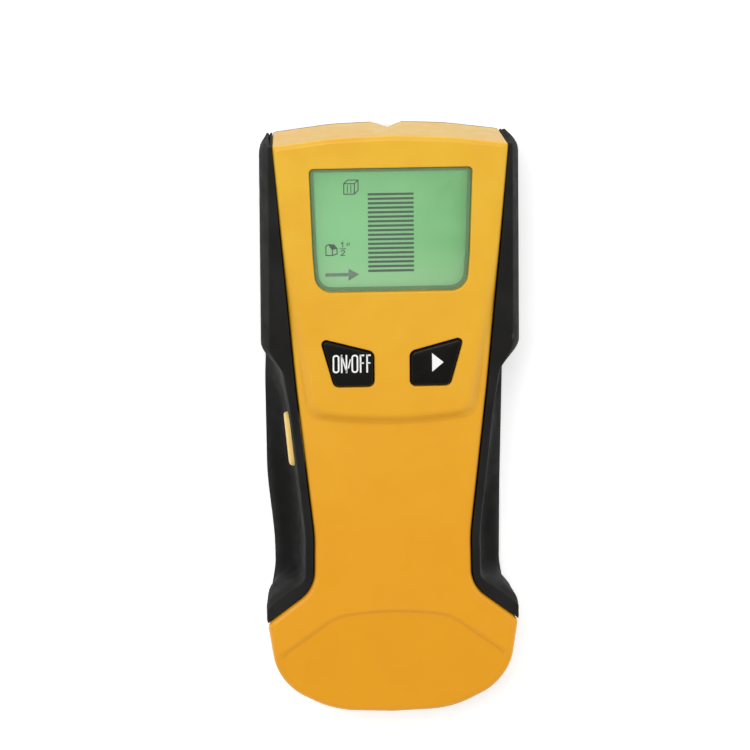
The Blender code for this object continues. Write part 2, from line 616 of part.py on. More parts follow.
def make_power(looks):
    battery = piece("battery", block(-BATTERY_X, BATTERY_X, BATTERY_Y0, BATTERY_Y1, BATTERY_Z0, BATTERY_Z1),
                    looks["battery"])
    z = (BATTERY_Z0 + BATTERY_Z1) / 2
    end = BATTERY_Y1 + 2.4
    posts = [rod(r, (x, BATTERY_Y1 - 1.0, z), (x, end, z), 16) for r, x in BATTERY_POSTS]
    combine(battery, "UNION", "battery_posts", together(*posts))
    snap = end + GAP
    piece("battery_snap", block(-12.5, 12.5, snap, snap + 3.0, z - 5.5, z + 5.5), looks["black"])
    for name, x, look in (("battery_lead_red", 5.0, "red"), ("battery_lead_black", -5.0, "black")):
        make_lead(name, x, snap + 3.0 + GAP, looks[look])


def make_lead(name, x, start_y, look):
    """A short lead from the battery snap up to the board's underside."""
    top = BOARD_Z - GAP
    curve = bpy.data.curves.new(name, "CURVE")
    curve.dimensions = "3D"
    curve.bevel_depth = 0.6 * MM
    curve.bevel_resolution = 2
    curve.use_fill_caps = True
    line = curve.splines.new("POLY")
    points = [(start_y, 12.0), (start_y + 3.0, 12.0), (start_y + 6.3, 12.6), (start_y + 8.6, 14.5),
              (start_y + 9.6, 17.0), (start_y + 9.9, 19.5), (start_y + 9.9, top)]
    line.points.add(len(points) - 1)
    for point, (y, z) in zip(line.points, points):
        point.co = (x * MM, y * MM, z * MM, 1.0)
    curve.materials.append(look)
    lead = bpy.data.objects.new(name, curve)
    bpy.context.scene.collection.objects.link(lead)
    return lead


def screw_head(y):
    """Radius of a case screw's head: the two in the narrow head end are smaller."""
    return 2.4 if y < 0.0 else 1.6


def make_case_screw(name, x, y, look):
    screw = piece(name, rod(screw_head(y), (x, y, SCREW_Z0), (x, y, SCREW_Z1), 20), look,
                  origin=(x, y, SCREW_Z0))
    shank = rod(SHANK_R, (x, y, SCREW_Z1 - 0.7), (x, y, SCREW_TIP_Z), 12)
    combine(screw, "UNION", name + "_shank", shank)
    for k, (half_x, half_y) in enumerate(((1.1, 0.3), (0.3, 1.1))):
        slot = block(x - half_x, x + half_x, y - half_y, y + half_y, SCREW_Z0 - 0.6, SCREW_Z0 + 0.8)
        combine(screw, "DIFFERENCE", f"{name}_slot_{k}", slot)


def main():
    for old in list(bpy.data.objects):
        bpy.data.objects.remove(old, do_unlink=True)
    looks = {
        "yellow": material("yellow_shell", (0.81, 0.40, 0.03), 0.42),
        "black": material("black_plastic", (0.02, 0.02, 0.021), 0.45),
        "rubber": material("grip_rubber", (0.022, 0.022, 0.023), 0.62),
        "button": material("button_rubber", (0.008, 0.008, 0.008), 0.3),
        "clear": material("clear_window", (0.9, 0.95, 0.9), 0.05, transmission=0.9),
        "screen": material("screen_glass", (0.28, 0.54, 0.28), 0.15),
        "diffuser": material("diffuser", (0.5, 0.75, 0.4), 0.4),
        "led": material("led", (0.7, 0.9, 0.5), 0.3),
        "board": material("circuit_board", (0.02, 0.16, 0.06), 0.4),
        "steel": material("zinc_steel", (0.6, 0.6, 0.62), 0.35, 1.0),
        "copper": material("copper", (0.75, 0.35, 0.2), 0.35, 1.0),
        "aluminium": material("aluminium", (0.7, 0.7, 0.72), 0.3, 1.0),
        "battery": material("battery_jacket", (0.15, 0.17, 0.2), 0.35, 0.6),
        "red": material("red_insulation", (0.5, 0.02, 0.02), 0.45),
    }
    make_front_shell(looks["yellow"])
    make_back_shell(looks["black"])
    make_grip("left_grip", -1, looks["rubber"])
    make_grip("right_grip", 1, looks["rubber"])
    make_door(looks["black"])
    for i, (x, y) in enumerate(CASE_SCREWS, 1):
        make_case_screw(f"case_screw_{i}", x, y, looks["steel"])
    make_face_button("power_button", -1, looks["button"])
    make_face_button("mode_button", 1, looks["button"])
    make_side_button(looks["yellow"])
    make_switch("power_switch", -BUTTON_X, BUTTON_Y, looks["black"], looks["aluminium"])
    make_switch("mode_switch", BUTTON_X, BUTTON_Y, looks["black"], looks["aluminium"])
    make_side_switch(looks["black"], looks["aluminium"])
    make_display(looks)
    make_boards(looks)
    make_power(looks)


main()
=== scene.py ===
"""Looks of the stud finder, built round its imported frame.

Shapes are worked out in millimetres in the frame's own axes: +Y is the head, +Z comes out of the face and
-X is the thumb button's side. MM turns them into metres.
"""

import math
import random

import bmesh
import bpy
from mathutils import Matrix, Vector


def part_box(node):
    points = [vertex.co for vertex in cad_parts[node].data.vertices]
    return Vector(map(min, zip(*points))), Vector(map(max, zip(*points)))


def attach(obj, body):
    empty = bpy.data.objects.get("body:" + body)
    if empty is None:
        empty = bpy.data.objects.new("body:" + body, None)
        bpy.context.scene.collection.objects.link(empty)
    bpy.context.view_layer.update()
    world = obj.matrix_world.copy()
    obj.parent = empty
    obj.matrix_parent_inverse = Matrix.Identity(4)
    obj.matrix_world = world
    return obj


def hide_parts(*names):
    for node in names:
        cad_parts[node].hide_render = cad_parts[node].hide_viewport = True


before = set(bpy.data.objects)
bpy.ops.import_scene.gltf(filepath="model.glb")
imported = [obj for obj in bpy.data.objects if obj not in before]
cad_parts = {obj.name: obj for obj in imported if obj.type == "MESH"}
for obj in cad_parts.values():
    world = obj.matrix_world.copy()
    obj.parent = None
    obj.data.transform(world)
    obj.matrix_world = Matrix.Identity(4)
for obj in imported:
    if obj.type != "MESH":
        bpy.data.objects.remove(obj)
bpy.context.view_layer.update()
MM = 0.001


def node_box(name):
    """A CAD node's lowest and highest corners in millimetres."""
    low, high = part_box(name)
    return low / MM, high / MM


# ---------- driving dimensions, from the frame
SHELL_LOW, SHELL_HIGH = node_box("front_shell")
BACK_HIGH = node_box("back_shell")[1]
DOOR_LOW, DOOR_HIGH = node_box("battery_door")
LENS_LOW, LENS_HIGH = node_box("lcd_window")
SCREEN_LOW, SCREEN_HIGH = node_box("lcd_glass")
KEY_LOW, KEY_HIGH = node_box("power_button")
THUMB_LOW, THUMB_HIGH = node_box("side_button")
BATTERY_LOW, BATTERY_HIGH = node_box("battery")

FACE_Z = SHELL_HIGH.z  # the flat panel round the display and the keys
HANDLE_Z = FACE_Z - 2.1
PART_LOW = SHELL_LOW.z  # the front shell's lower edge
WALL = 2.0
GAP = 0.3
PLATE_T = 3.0
EDGE, BULB_EDGE = 1.2, 1.5
FINE = 0.5  # the longest step along the visible outlines
CUT_FLOOR = 26.0  # how deep the cutters for the face's openings reach

# Half outlines, head to foot down the left side: corner x, corner y, fillet radius, steps in the fillet.
BODY_HALF = [
    (0.0, 76.9, 0.0, 0),
    (-15.4, 76.3, 60.0, 8),
    (-30.8, 74.4, 0.8, 6),
    (-24.8, 9.7, 300.0, 10),
    (-20.4, -29.5, 40.0, 12),
    (-20.6, -43.4, 9.0, 16),
    (-32.9, -52.6, 2.6, 12),
    (-30.3, -69.2, 16.0, 24),
    (-15.5, -76.9, 26.0, 12),
    (0.0, -77.5, 0.0, 0),
]
PLATE_HALF = [
    (0.0, 75.4, 0.0, 0),
    (-15.4, 74.8, 60.0, 8),
    (-31.0, 72.6, 4.5, 12),
    (-30.8, 12.0, 300.0, 6),
    (-29.4, -40.0, 60.0, 8),
    (-30.0, -54.0, 20.0, 10),
    (-27.6, -67.5, 15.0, 20),
    (-13.0, -74.6, 30.0, 10),
    (0.0, -75.2, 0.0, 0),
]
WINDOW_HALF = [(0.0, 68.5, 0.0, 0), (-21.3, 68.5, 1.2, 10), (-20.5, 46.0, 80.0, 8), (-19.7, 35.8, 4.6, 16),
               (0.0, 35.8, 0.0, 0)]
KEY_CORNERS = [(-18.9, 23.8, 1.2, 8), (-15.2, 10.7, 1.8, 8), (-4.6, 10.7, 1.6, 8), (-4.6, 20.0, 1.9, 8)]
PANEL_END_Y, PANEL_FLANK = 3.3, 3.0
CREASE_Y, CREASE_BOW, CREASE_BEND_X, CREASE_SLOPE, BULB_TIP = -49.4, 0.0065, 15.5, 0.72, 0.09
HEAD_DRAFT, HEAD_TUCK, HEAD_LEAN, BULB_DRAFT = 0.6, 2.2, 1.2, 1.8
NOTCH_SPREAD, NOTCH_DEPTH, NOTCH_TOP = 2.4, 1.6, 20.0
CASE_SCREWS = [(-14.0, 72.1), (14.0, 72.1), (-22.6, -59.5), (22.6, -59.5)]
DOOR_T, HINGE_Y, PIN = 1.5, -68.9, 1.0
THUMB_SLANT, THUMB_REST = 0.10, 1.7
CREASE_STEP = 0.6  # the bulb's face lies this much lower than the handle's


def clamp(t):
    return min(1.0, max(0.0, t))


def smooth(t):
    t = clamp(t)
    return t * t * (3.0 - 2.0 * t)


def lerp(a, b, t):
    return a + (b - a) * t


def soft_max(a, b, round_over):
    """The larger of two values, with the corner between them rounded over."""
    h = clamp(0.5 + 0.5 * (a - b) / round_over)
    return lerp(b, a, h) + round_over * h * (1.0 - h)


def into_bulb(y):
    """0 on the handle, 1 well inside the bulb."""
    return smooth((-46.0 - y) / 9.0)


def into_head(y):
    """0 beside the display, 1 at the head end."""
    return smooth((y - 62.0) / 12.0)


# ---------- the face
def panel_half(y):
    """Half width of the raised panel's flat."""
    return 19.8 + 4.4 * clamp((y - 7.0) / 27.0) + 2.5 * clamp((y - 34.0) / 41.0)


def crease_y(x):
    """Where the fold across the bulb runs."""
    bow = CREASE_BOW * min(abs(x), CREASE_BEND_X) ** 2
    return CREASE_Y - bow - CREASE_SLOPE * soft_max(abs(x) - CREASE_BEND_X, 0.0, 2.5)


def face_height(x, y):
    """Height of the outer face: a crowned base, the raised panel, and the bulb that tips away."""
    base = lerp(HANDLE_Z, FACE_Z, smooth((y - 8.0) / 52.0))
    base -= 0.5 * (x / 28.0) ** 2 * smooth((60.0 - y) / 40.0)
    past = crease_y(x) - y
    base -= BULB_TIP * soft_max(past, 0.0, 1.6)
    base -= CREASE_STEP * smooth((past + 0.3) / 1.1) * smooth((31.5 - abs(x)) / 3.0)
    away = soft_max(abs(x) - panel_half(y), PANEL_END_Y + 0.004 * x * x - y, 4.0)
    return lerp(FACE_Z, base, smooth(away / PANEL_FLANK))


# ---------- outlines
def mirrored(half):
    return half + [(-x, y, r, n) for x, y, r, n in reversed(half[1:-1])]


def inset_corners(corners, inset):
    """The corners of an outline moved inwards, with the fillets kept concentric and never below 0.4 mm."""
    moved = []
    for i, (x, y, r, n) in enumerate(corners):
        before = (Vector((x, y)) - Vector(corners[i - 1][:2])).normalized()
        after = (Vector(corners[(i + 1) % len(corners)][:2]) - Vector((x, y))).normalized()
        left, right = Vector((-before.y, before.x)), Vector((-after.y, after.x))
        shift = (left + right) * inset / (1.0 + left.dot(right))
        turn = before.x * after.y - before.y * after.x
        radius = r - math.copysign(inset, turn) if n else 0.0
        moved.append((x + shift.x, y + shift.y, max(radius, 0.4), n))
    return moved


def outline(corners, longest=200.0, inset=0.0):
    """Points round an outline with an arc at each corner. Long straight stretches are cut up."""
    spans = [(Vector(b[:2]) - Vector(a[:2])).length for a, b in zip(corners, corners[1:] + corners[:1])]
    corners = inset_corners(corners, inset) if inset else corners
    arcs = []
    for i, (x, y, r, n) in enumerate(corners):
        corner = Vector((x, y))
        before = (corner - Vector(corners[i - 1][:2])).normalized()
        after = (Vector(corners[(i + 1) % len(corners)][:2]) - corner).normalized()
        turn = before.x * after.y - before.y * after.x
        angle = math.atan2(turn, before.dot(after))
        if n == 0 or abs(angle) < 0.001:
            arcs.append([corner])
            continue
        start = corner - before * r * math.tan(abs(angle) / 2.0)
        centre = start + Vector((-before.y, before.x)) * math.copysign(r, turn)
        arcs.append([centre + Matrix.Rotation(angle * k / n, 2) @ (start - centre) for k in range(n + 1)])
    points = []
    for i, arc in enumerate(arcs):
        points += arc
        gap = arcs[(i + 1) % len(arcs)][0] - arc[-1]
        pieces = math.ceil(spans[i] / longest)
        points += [arc[-1] + gap * k / pieces for k in range(1, pieces)]
    return points


def grown(points, distance):
    """Points moved along the outline's outward normal."""
    moved = []
    for i, p in enumerate(points):
        along = (points[(i + 1) % len(points)] - points[i - 1]).normalized()
        moved.append(p + Vector((along.y, -along.x)) * distance)
    return moved


def drafted(points):
    """The outline at the parting line: the head end stands out a little, its sides and the bulb draw in."""
    moved = []
    for p in points:
        inward = (BULB_DRAFT * into_bulb(p.y) + HEAD_LEAN * into_head(p.y)) / 33.0
        lift = HEAD_DRAFT * clamp((p.y - 72.0) / 2.4) + BULB_DRAFT * smooth((-60.0 - p.y) / 17.0)
        moved.append(Vector((p.x * (1.0 - inward), p.y + lift)))
    return moved


def tucked(points):
    """The outline lower down the back: the head end slopes in towards the wall side."""
    return [Vector((p.x, p.y - HEAD_TUCK * smooth((p.y - 60.0) / 13.0))) for p in points]


def body_points(longest, inset=0.0):
    return outline(mirrored(BODY_HALF), longest, inset)


def arc_steps(radius, steps):
    """(inwards, downwards) along a quarter round, from a wall up on to a face."""
    turns = [math.pi / 2.0 * k / steps for k in range(steps + 1)]
    return [(radius * (1.0 - math.cos(a)), radius * (1.0 - math.sin(a))) for a in turns]


# ---------- solids, as bmesh in millimetres
def add_loop(bm, points, height):
    level = height if callable(height) else (lambda x, y: height)
    return [bm.verts.new((p[0], p[1], level(p[0], p[1]))) for p in points]


def bridge(bm, low, high):
    for i in range(len(low)):
        j = (i + 1) % len(low)
        bm.faces.new((low[i], low[j], high[j], high[i]))


def skin(bm, loops):
    """Joins each loop to the next one and closes both ends."""
    for low, high in zip(loops, loops[1:]):
        bridge(bm, low, high)
    bm.faces.new(loops[0])
    bm.faces.new(loops[-1])
    return bm


def loft(*rings):
    """A closed solid through rings given as (points, height)."""
    bm = bmesh.new()
    return skin(bm, [add_loop(bm, points, height) for points, height in rings])


def across_x(points, stations):
    """A closed solid of (y, z) outlines at given x: stations are (x, inset)."""
    bm = bmesh.new()
    return skin(bm, [[bm.verts.new((x, p.x, p.y)) for p in grown(points, -i)] for x, i in stations])


def along_y(points, stations):
    """A closed solid of (x, z) outlines at given y: stations are (y, inset)."""
    bm = bmesh.new()
    return skin(bm, [[bm.verts.new((p.x, y, p.y)) for p in grown(points, -i)] for y, i in stations])


def circle(radius, x, y, sides):
    angles = [2.0 * math.pi * k / sides for k in range(sides)]
    return [Vector((x + radius * math.cos(a), y + radius * math.sin(a))) for a in angles]


def plate(points, z0, z1, low_edge=0.0, high_edge=0.0, steps=4):
    """A prism whose lower and upper edges are rounded."""
    low = [(grown(points, -i), z0 + d) for i, d in reversed(arc_steps(low_edge, steps))] if low_edge else []
    high = [(grown(points, -i), z1 - d) for i, d in arc_steps(high_edge, steps)] if high_edge else []
    return loft(*(low or [(points, z0)]), *(high or [(points, z1)]))


def rectangle(x0, x1, y0, y1, radius=0.0, steps=6):
    corners = [(x0, y1), (x0, y0), (x1, y0), (x1, y1)]
    if not radius:
        return [Vector(c) for c in corners]
    return outline([(x, y, radius, steps) for x, y in corners])


def block(low, high, corner=0.0, edge=0.0):
    """A box with rounded upright corners and rounded upper and lower edges."""
    points = rectangle(low[0], high[0], low[1], high[1], corner, 4)
    return plate(points, low[2], high[2], edge, edge, 3)


def rod(radius, start, end, sides=48):
    axis = Vector(end) - Vector(start)
    bm = bmesh.new()
    turn = axis.to_track_quat("Z", "Y").to_matrix().to_4x4()
    centre = Matrix.Translation((Vector(start) + Vector(end)) / 2.0)
    bmesh.ops.create_cone(bm, cap_ends=True, segments=sides, radius1=radius, radius2=radius,
                          depth=axis.length, matrix=centre @ turn)
    return bm


def turned(profile, x, y, sides=48):
    """A solid of revolution about an upright axis: profile is (radius, height), both ends on the axis."""
    bm = bmesh.new()
    rings = []
    for radius, z in profile:
        if radius < 1e-6:
            rings.append([bm.verts.new((x, y, z))])
            continue
        rings.append([bm.verts.new((p.x, p.y, z)) for p in circle(radius, x, y, sides)])
    for low, high in zip(rings, rings[1:]):
        for i in range(sides):
            j = (i + 1) % sides
            quad = [low[i % len(low)], low[j % len(low)], high[j % len(high)], high[i % len(high)]]
            bm.faces.new([v for k, v in enumerate(quad) if v not in quad[:k]])
    return bm


def face_outwards(solid):
    bmesh.ops.recalc_face_normals(solid, faces=solid.faces)
    if solid.calc_volume(signed=True) < 0.0:
        bmesh.ops.reverse_faces(solid, faces=solid.faces)


def together(*solids):
    """Several separate closed solids in one mesh."""
    bm = bmesh.new()
    for solid in solids:
        mesh = bpy.data.meshes.new("scratch")
        face_outwards(solid)
        solid.to_mesh(mesh)
        bm.from_mesh(mesh)
        bpy.data.meshes.remove(mesh)
    return bm


# ---------- objects
def put_in_scene(made):
    bpy.context.scene.collection.objects.link(made)
    return made


def thing(name, solid, look=None, crease=32.0):
    mesh = bpy.data.meshes.new(name)
    face_outwards(solid)
    bmesh.ops.scale(solid, verts=solid.verts, vec=(MM, MM, MM))
    solid.to_mesh(mesh)
    solid.free()
    if look:
        mesh.materials.append(look)
    mesh.shade_smooth()
    mesh.set_sharp_from_angle(angle=math.radians(crease))
    return put_in_scene(bpy.data.objects.new(name, mesh))


def settle(made, crease=32.0):
    """Applies an object's modifiers to its mesh."""
    bpy.context.view_layer.update()
    graph = bpy.context.evaluated_depsgraph_get()
    mesh = bpy.data.meshes.new_from_object(made.evaluated_get(graph), depsgraph=graph)
    made.modifiers.clear()
    made.data = mesh
    mesh.shade_smooth()
    mesh.set_sharp_from_angle(angle=math.radians(crease))
    return made


def carve(made, operation, solid, crease=32.0):
    """Cuts a solid out of an object, or joins it on, for good."""
    tool = thing("tool", solid)
    step = made.modifiers.new("carve", "BOOLEAN")
    step.operation = operation
    step.object = tool
    settle(made, crease)
    bpy.data.objects.remove(tool, do_unlink=True)
    return made


def cut(made, solid, crease=32.0):
    return carve(made, "DIFFERENCE", solid, crease)


def show(made, body, replaced=()):
    """Puts a finished piece on its body, in place of CAD nodes."""
    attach(made, body)
    if replaced:
        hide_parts(*replaced)
    return made


# ---------- materials
class Look:
    """A Principled material and the nodes that feed it. Coordinates are the object's own, in metres."""

    def __init__(self, name, colour, roughness, **constants):
        self.material = bpy.data.materials.new(name)
        self.material.use_nodes = True
        self.tree = self.material.node_tree
        self.shader = self.tree.nodes["Principled BSDF"]
        self.place = self.tree.nodes.new("ShaderNodeTexCoord").outputs["Object"]
        self.colour = (*colour, 1.0)
        self.set("Base Color", self.colour)
        self.set("Roughness", roughness)
        for socket, value in constants.items():
            self.set(socket.replace("_", " "), value)
        self.relief = None

    def feed(self, socket, value):
        """Links a socket to another node's output, or sets it to a constant."""
        if isinstance(value, bpy.types.NodeSocket):
            self.tree.links.new(value, socket)
        else:
            socket.default_value = value

    def set(self, socket, value):
        self.feed(self.shader.inputs[socket], value)

    def node(self, kind, settings=(), **inputs):
        made = self.tree.nodes.new(kind)
        for name, value in dict(settings).items():
            setattr(made, name, value)
        for name, value in inputs.items():
            numbered = name[0] == "i" and name[1:].isdigit()
            self.feed(made.inputs[int(name[1:]) if numbered else name], value)
        return made

    def axes(self):
        """The place on the object along its own X, Y and Z, in metres."""
        return self.node("ShaderNodeSeparateXYZ", Vector=self.place).outputs

    def noise(self, size_mm, detail=3.0, stretch=None):
        """A noise from 0 to 1 whose features are about size_mm across."""
        place = self.place
        if stretch:
            stretched = self.node("ShaderNodeVectorMath", {"operation": "MULTIPLY"}, i0=place, i1=stretch)
            place = stretched.outputs[0]
        return self.node("ShaderNodeTexNoise", Vector=place, Scale=1.0 / (size_mm * MM),
                         Detail=detail).outputs["Fac"]

    def ramp(self, value, low, high, out_low=0.0, out_high=1.0):
        inputs = {"Value": value, "From Min": low, "From Max": high, "To Min": out_low, "To Max": out_high}
        return self.node("ShaderNodeMapRange", {"clamp": True}, **inputs).outputs["Result"]

    def product(self, one, other):
        return self.node("ShaderNodeMath", {"operation": "MULTIPLY"}, i0=one, i1=other).outputs[0]

    def blend(self, other, amount):
        """Mixes another colour over the present one by an amount from 0 to 1."""
        mix = self.node("ShaderNodeMix", {"data_type": "RGBA"}, i0=amount)
        self.feed(mix.inputs[6], self.colour)
        self.feed(mix.inputs[7], (*other, 1.0))
        self.colour = mix.outputs[2]
        self.set("Base Color", self.colour)

    def patches(self, colour, size_mm, detail, low, high, amount=1.0):
        """Mixes another colour over the present one where a noise rises from low to high."""
        self.blend(colour, self.ramp(self.noise(size_mm, detail), low, high, 0.0, amount))

    def uneven_gloss(self, noise, low, high):
        self.set("Roughness", self.ramp(noise, 0.3, 0.7, low, high))

    def bump(self, height, depth_mm, strength=1.0):
        made = self.node("ShaderNodeBump", Height=height, Distance=depth_mm * MM, Strength=strength)
        if self.relief:
            self.tree.links.new(self.relief, made.inputs["Normal"])
        self.relief = made.outputs["Normal"]
        self.set("Normal", self.relief)

    def worn_edges(self, colour, low, high, amount):
        """Lighter colour where the surface turns sharply outwards, broken up by a noise."""
        sharp = self.node("ShaderNodeNewGeometry").outputs["Pointiness"]
        edge = self.ramp(sharp, low, high)
        broken = self.ramp(self.noise(1.6, 4.0), 0.38, 0.62, 0.35, 1.0)
        self.blend(colour, self.product(self.product(edge, broken), amount))

    def painted_groove_shade(self, colour, low, high, amount):
        """Painted shade: darker colour where the surface turns sharply inwards, where shade falls."""
        sharp = self.node("ShaderNodeNewGeometry").outputs["Pointiness"]
        self.blend(colour, self.ramp(sharp, low, high, 0.0, amount))

    def moulded(self, grain_mm, depth_mm, rough_low, rough_high, mottle, mottle_amount):
        """Spark-eroded mould texture, uneven gloss and a faint unevenness of colour."""
        grain = self.noise(grain_mm, 2.0)
        self.bump(grain, depth_mm)
        self.bump(self.noise(9.0, 2.0), depth_mm * 2.0, 0.4)
        self.uneven_gloss(self.noise(4.0, 5.0), rough_low, rough_high)
        self.patches(mottle, 14.0, 4.0, 0.42, 0.66, mottle_amount)


def yellow_plastic(name, colour, painted_head_light, painted_end_sheen):
    """Moulded yellow, with painted light on it: lemon towards the head where more light falls, a paler,
    greyer painted sheen on its sloping end, and painted shade in its grooves.
    """
    look = Look(name, colour, 0.4, Specular_IOR_Level=0.4, IOR=1.5)
    axes = look.axes()
    along, up = axes["Y"], axes["Z"]
    # Painted light: the colour turns lemon towards the head, standing in for the stronger light there.
    look.blend(painted_head_light, look.ramp(along, -0.032, 0.058))
    # Painted sheen: a paler, greyer colour on the head end face below its top edge stands in for the light
    # it reflects.
    look.blend(painted_end_sheen, look.product(look.ramp(along, 0.068, 0.072), look.ramp(up, 0.0316, 0.0306)))
    look.moulded(0.22, 0.012, 0.36, 0.47, tuple(0.93 * c for c in colour), 0.3)
    look.patches(tuple(0.78 * c for c in colour), 0.5, 1.0, 0.74, 0.8, 0.25)
    look.worn_edges((0.86, 0.50, 0.09), 0.56, 0.66, 0.2)
    # Painted shade: darker orange in the creases and grooves, where shade falls.
    look.painted_groove_shade((0.50, 0.17, 0.004), 0.49, 0.44, 0.75)
    return look.material


def black_rubber():
    """Matt rubber with pale scuffs; the waist, a recess, is a deeper black from painted shade."""
    look = Look("black_rubber", (0.0135, 0.0130, 0.0126), 0.62, Specular_IOR_Level=0.05)
    look.moulded(0.16, 0.014, 0.54, 0.70, (0.019, 0.0185, 0.018), 0.8)
    look.patches((0.036, 0.035, 0.034), 0.35, 2.0, 0.66, 0.76, 0.3)
    look.worn_edges((0.075, 0.073, 0.07), 0.54, 0.66, 0.6)
    # Painted shade: the low part of the waist, a recess, is blended towards a deeper black.
    axes = look.axes()
    waist, low = look.ramp(axes["Y"], 0.013, 0.006), look.ramp(axes["Z"], 0.028, 0.024)
    look.blend((0.0035, 0.0034, 0.0033), look.product(look.product(waist, low), 0.75))
    return look.material


def black_plastic():
    look = Look("black_plastic", (0.017, 0.017, 0.018), 0.45, Specular_IOR_Level=0.5)
    look.moulded(0.3, 0.02, 0.36, 0.5, (0.025, 0.025, 0.026), 0.7)
    look.patches((0.045, 0.045, 0.046), 0.6, 2.0, 0.68, 0.76, 0.4)
    return look.material


def key_plastic():
    look = Look("key_plastic", (0.0045, 0.0041, 0.0035), 0.3, Specular_IOR_Level=0.16)
    look.moulded(0.5, 0.003, 0.24, 0.36, (0.007, 0.0066, 0.006), 0.6)
    look.worn_edges((0.02, 0.02, 0.02), 0.53, 0.62, 0.5)
    return look.material


def white_ink():
    look = Look("white_ink", (0.86, 0.86, 0.84), 0.5)
    look.patches((0.7, 0.7, 0.68), 0.4, 3.0, 0.55, 0.75, 0.5)
    look.bump(look.noise(0.15, 2.0), 0.006)
    return look.material


def clear_acrylic():
    look = Look("clear_acrylic", (0.80, 0.93, 0.80), 0.06, Alpha=0.045, IOR=1.49)
    look.uneven_gloss(look.noise(6.0, 3.0), 0.04, 0.10)
    look.bump(look.noise(12.0, 1.0), 0.01, 0.3)
    return look.material


def screen_green():
    """Green reflective cell: lighter to the left and at the foot, darker to the right and at the top."""
    look = Look("screen_green", (0.185, 0.475, 0.19), 0.3, Specular_IOR_Level=0.2,
                Emission_Color=(0.15, 0.45, 0.15, 1.0), Emission_Strength=0.06)
    axes = look.axes()
    across, along = axes["X"], axes["Y"]
    look.blend((0.205, 0.51, 0.225), look.ramp(across, 0.006, -0.012, 0.0, 1.0))
    look.blend((0.112, 0.37, 0.117), look.ramp(across, 0.004, 0.021, 0.0, 0.9))
    look.blend((0.125, 0.385, 0.135), look.ramp(along, 0.054, 0.069, 0.0, 0.75))
    look.blend((0.33, 0.57, 0.31), look.ramp(along, 0.048, 0.035, 0.0, 0.7))
    look.patches((0.20, 0.50, 0.20), 7.0, 2.0, 0.4, 0.7, 0.35)
    look.bump(look.noise(0.2, 1.0), 0.002)
    return look.material


def segment_ink():
    look = Look("segment_ink", (0.018, 0.048, 0.026), 0.35)
    look.patches((0.028, 0.062, 0.034), 1.2, 3.0, 0.4, 0.7)
    return look.material


def pale_segment_ink():
    look = Look("pale_segment_ink", (0.10, 0.16, 0.115), 0.35)
    look.patches((0.14, 0.2, 0.15), 1.2, 3.0, 0.4, 0.7)
    return look.material


def milky_plastic():
    look = Look("milky_plastic", (0.5, 0.72, 0.42), 0.4, Subsurface_Weight=0.2,
                Subsurface_Radius=(0.002, 0.003, 0.002))
    look.moulded(0.8, 0.01, 0.3, 0.5, (0.42, 0.66, 0.36), 0.5)
    return look.material


def solder_mask():
    """Green circuit board with faint copper tracks under the mask."""
    look = Look("solder_mask", (0.012, 0.12, 0.045), 0.35, Coat_Weight=0.3, Coat_Roughness=0.2)
    bricks = look.node("ShaderNodeTexBrick", {"offset": 0.37}, Vector=look.place, Scale=260.0)
    bricks.inputs["Mortar Size"].default_value = 0.03
    look.blend((0.03, 0.22, 0.09), look.ramp(bricks.outputs["Fac"], 0.4, 0.6, 0.0, 0.8))
    look.bump(bricks.outputs["Fac"], 0.03)
    look.bump(look.noise(0.3, 2.0), 0.006)
    return look.material


def metal(name, colour, rough_low, rough_high):
    """Finely brushed metal with dull patches."""
    look = Look(name, colour, rough_low, Metallic=1.0)
    lines = look.noise(0.15, 3.0, (1.0, 12.0, 1.0))
    look.uneven_gloss(lines, rough_low, rough_high)
    look.bump(lines, 0.004)
    darker = tuple(0.72 * c for c in colour)
    look.patches(darker, 2.5, 5.0, 0.45, 0.7, 0.6)
    return look.material


def coil_wire():
    """Enamelled wire, wound round and round: fine rings about the coil's axis."""
    look = Look("coil_wire", (0.62, 0.24, 0.09), 0.3, Metallic=0.9)
    middle = (0.0, 0.044, 0.0)
    centre = look.node("ShaderNodeVectorMath", {"operation": "SUBTRACT"}, i0=look.place, i1=middle)
    rings = look.node("ShaderNodeTexWave", {"wave_type": "RINGS", "rings_direction": "Z"},
                      Vector=centre.outputs[0], Scale=1100.0, Distortion=0.4)
    look.bump(rings.outputs["Fac"], 0.08)
    look.blend((0.35, 0.12, 0.05), look.ramp(rings.outputs["Fac"], 0.2, 0.0, 0.0, 0.7))
    return look.material


def battery_jacket():
    """A dark jacket with a warm band at the contacts' end, without any mark."""
    look = Look("battery_jacket", (0.03, 0.034, 0.045), 0.32, Metallic=0.5, Coat_Weight=0.4,
                Coat_Roughness=0.12)
    band = 16.0
    edge = (BATTERY_HIGH.y - band) * MM
    look.blend((0.62, 0.30, 0.08), look.ramp(look.axes()["Y"], edge - 0.0001, edge + 0.0001))
    look.uneven_gloss(look.noise(3.0, 5.0), 0.22, 0.4)
    look.bump(look.noise(6.0, 2.0), 0.03, 0.4)
    return look.material


def plain(name, colour, roughness, **constants):
    look = Look(name, colour, roughness, **constants)
    darker = tuple(0.7 * c for c in colour)
    look.moulded(0.25, 0.01, roughness * 0.85, roughness * 1.15, darker, 0.5)
    return look.material


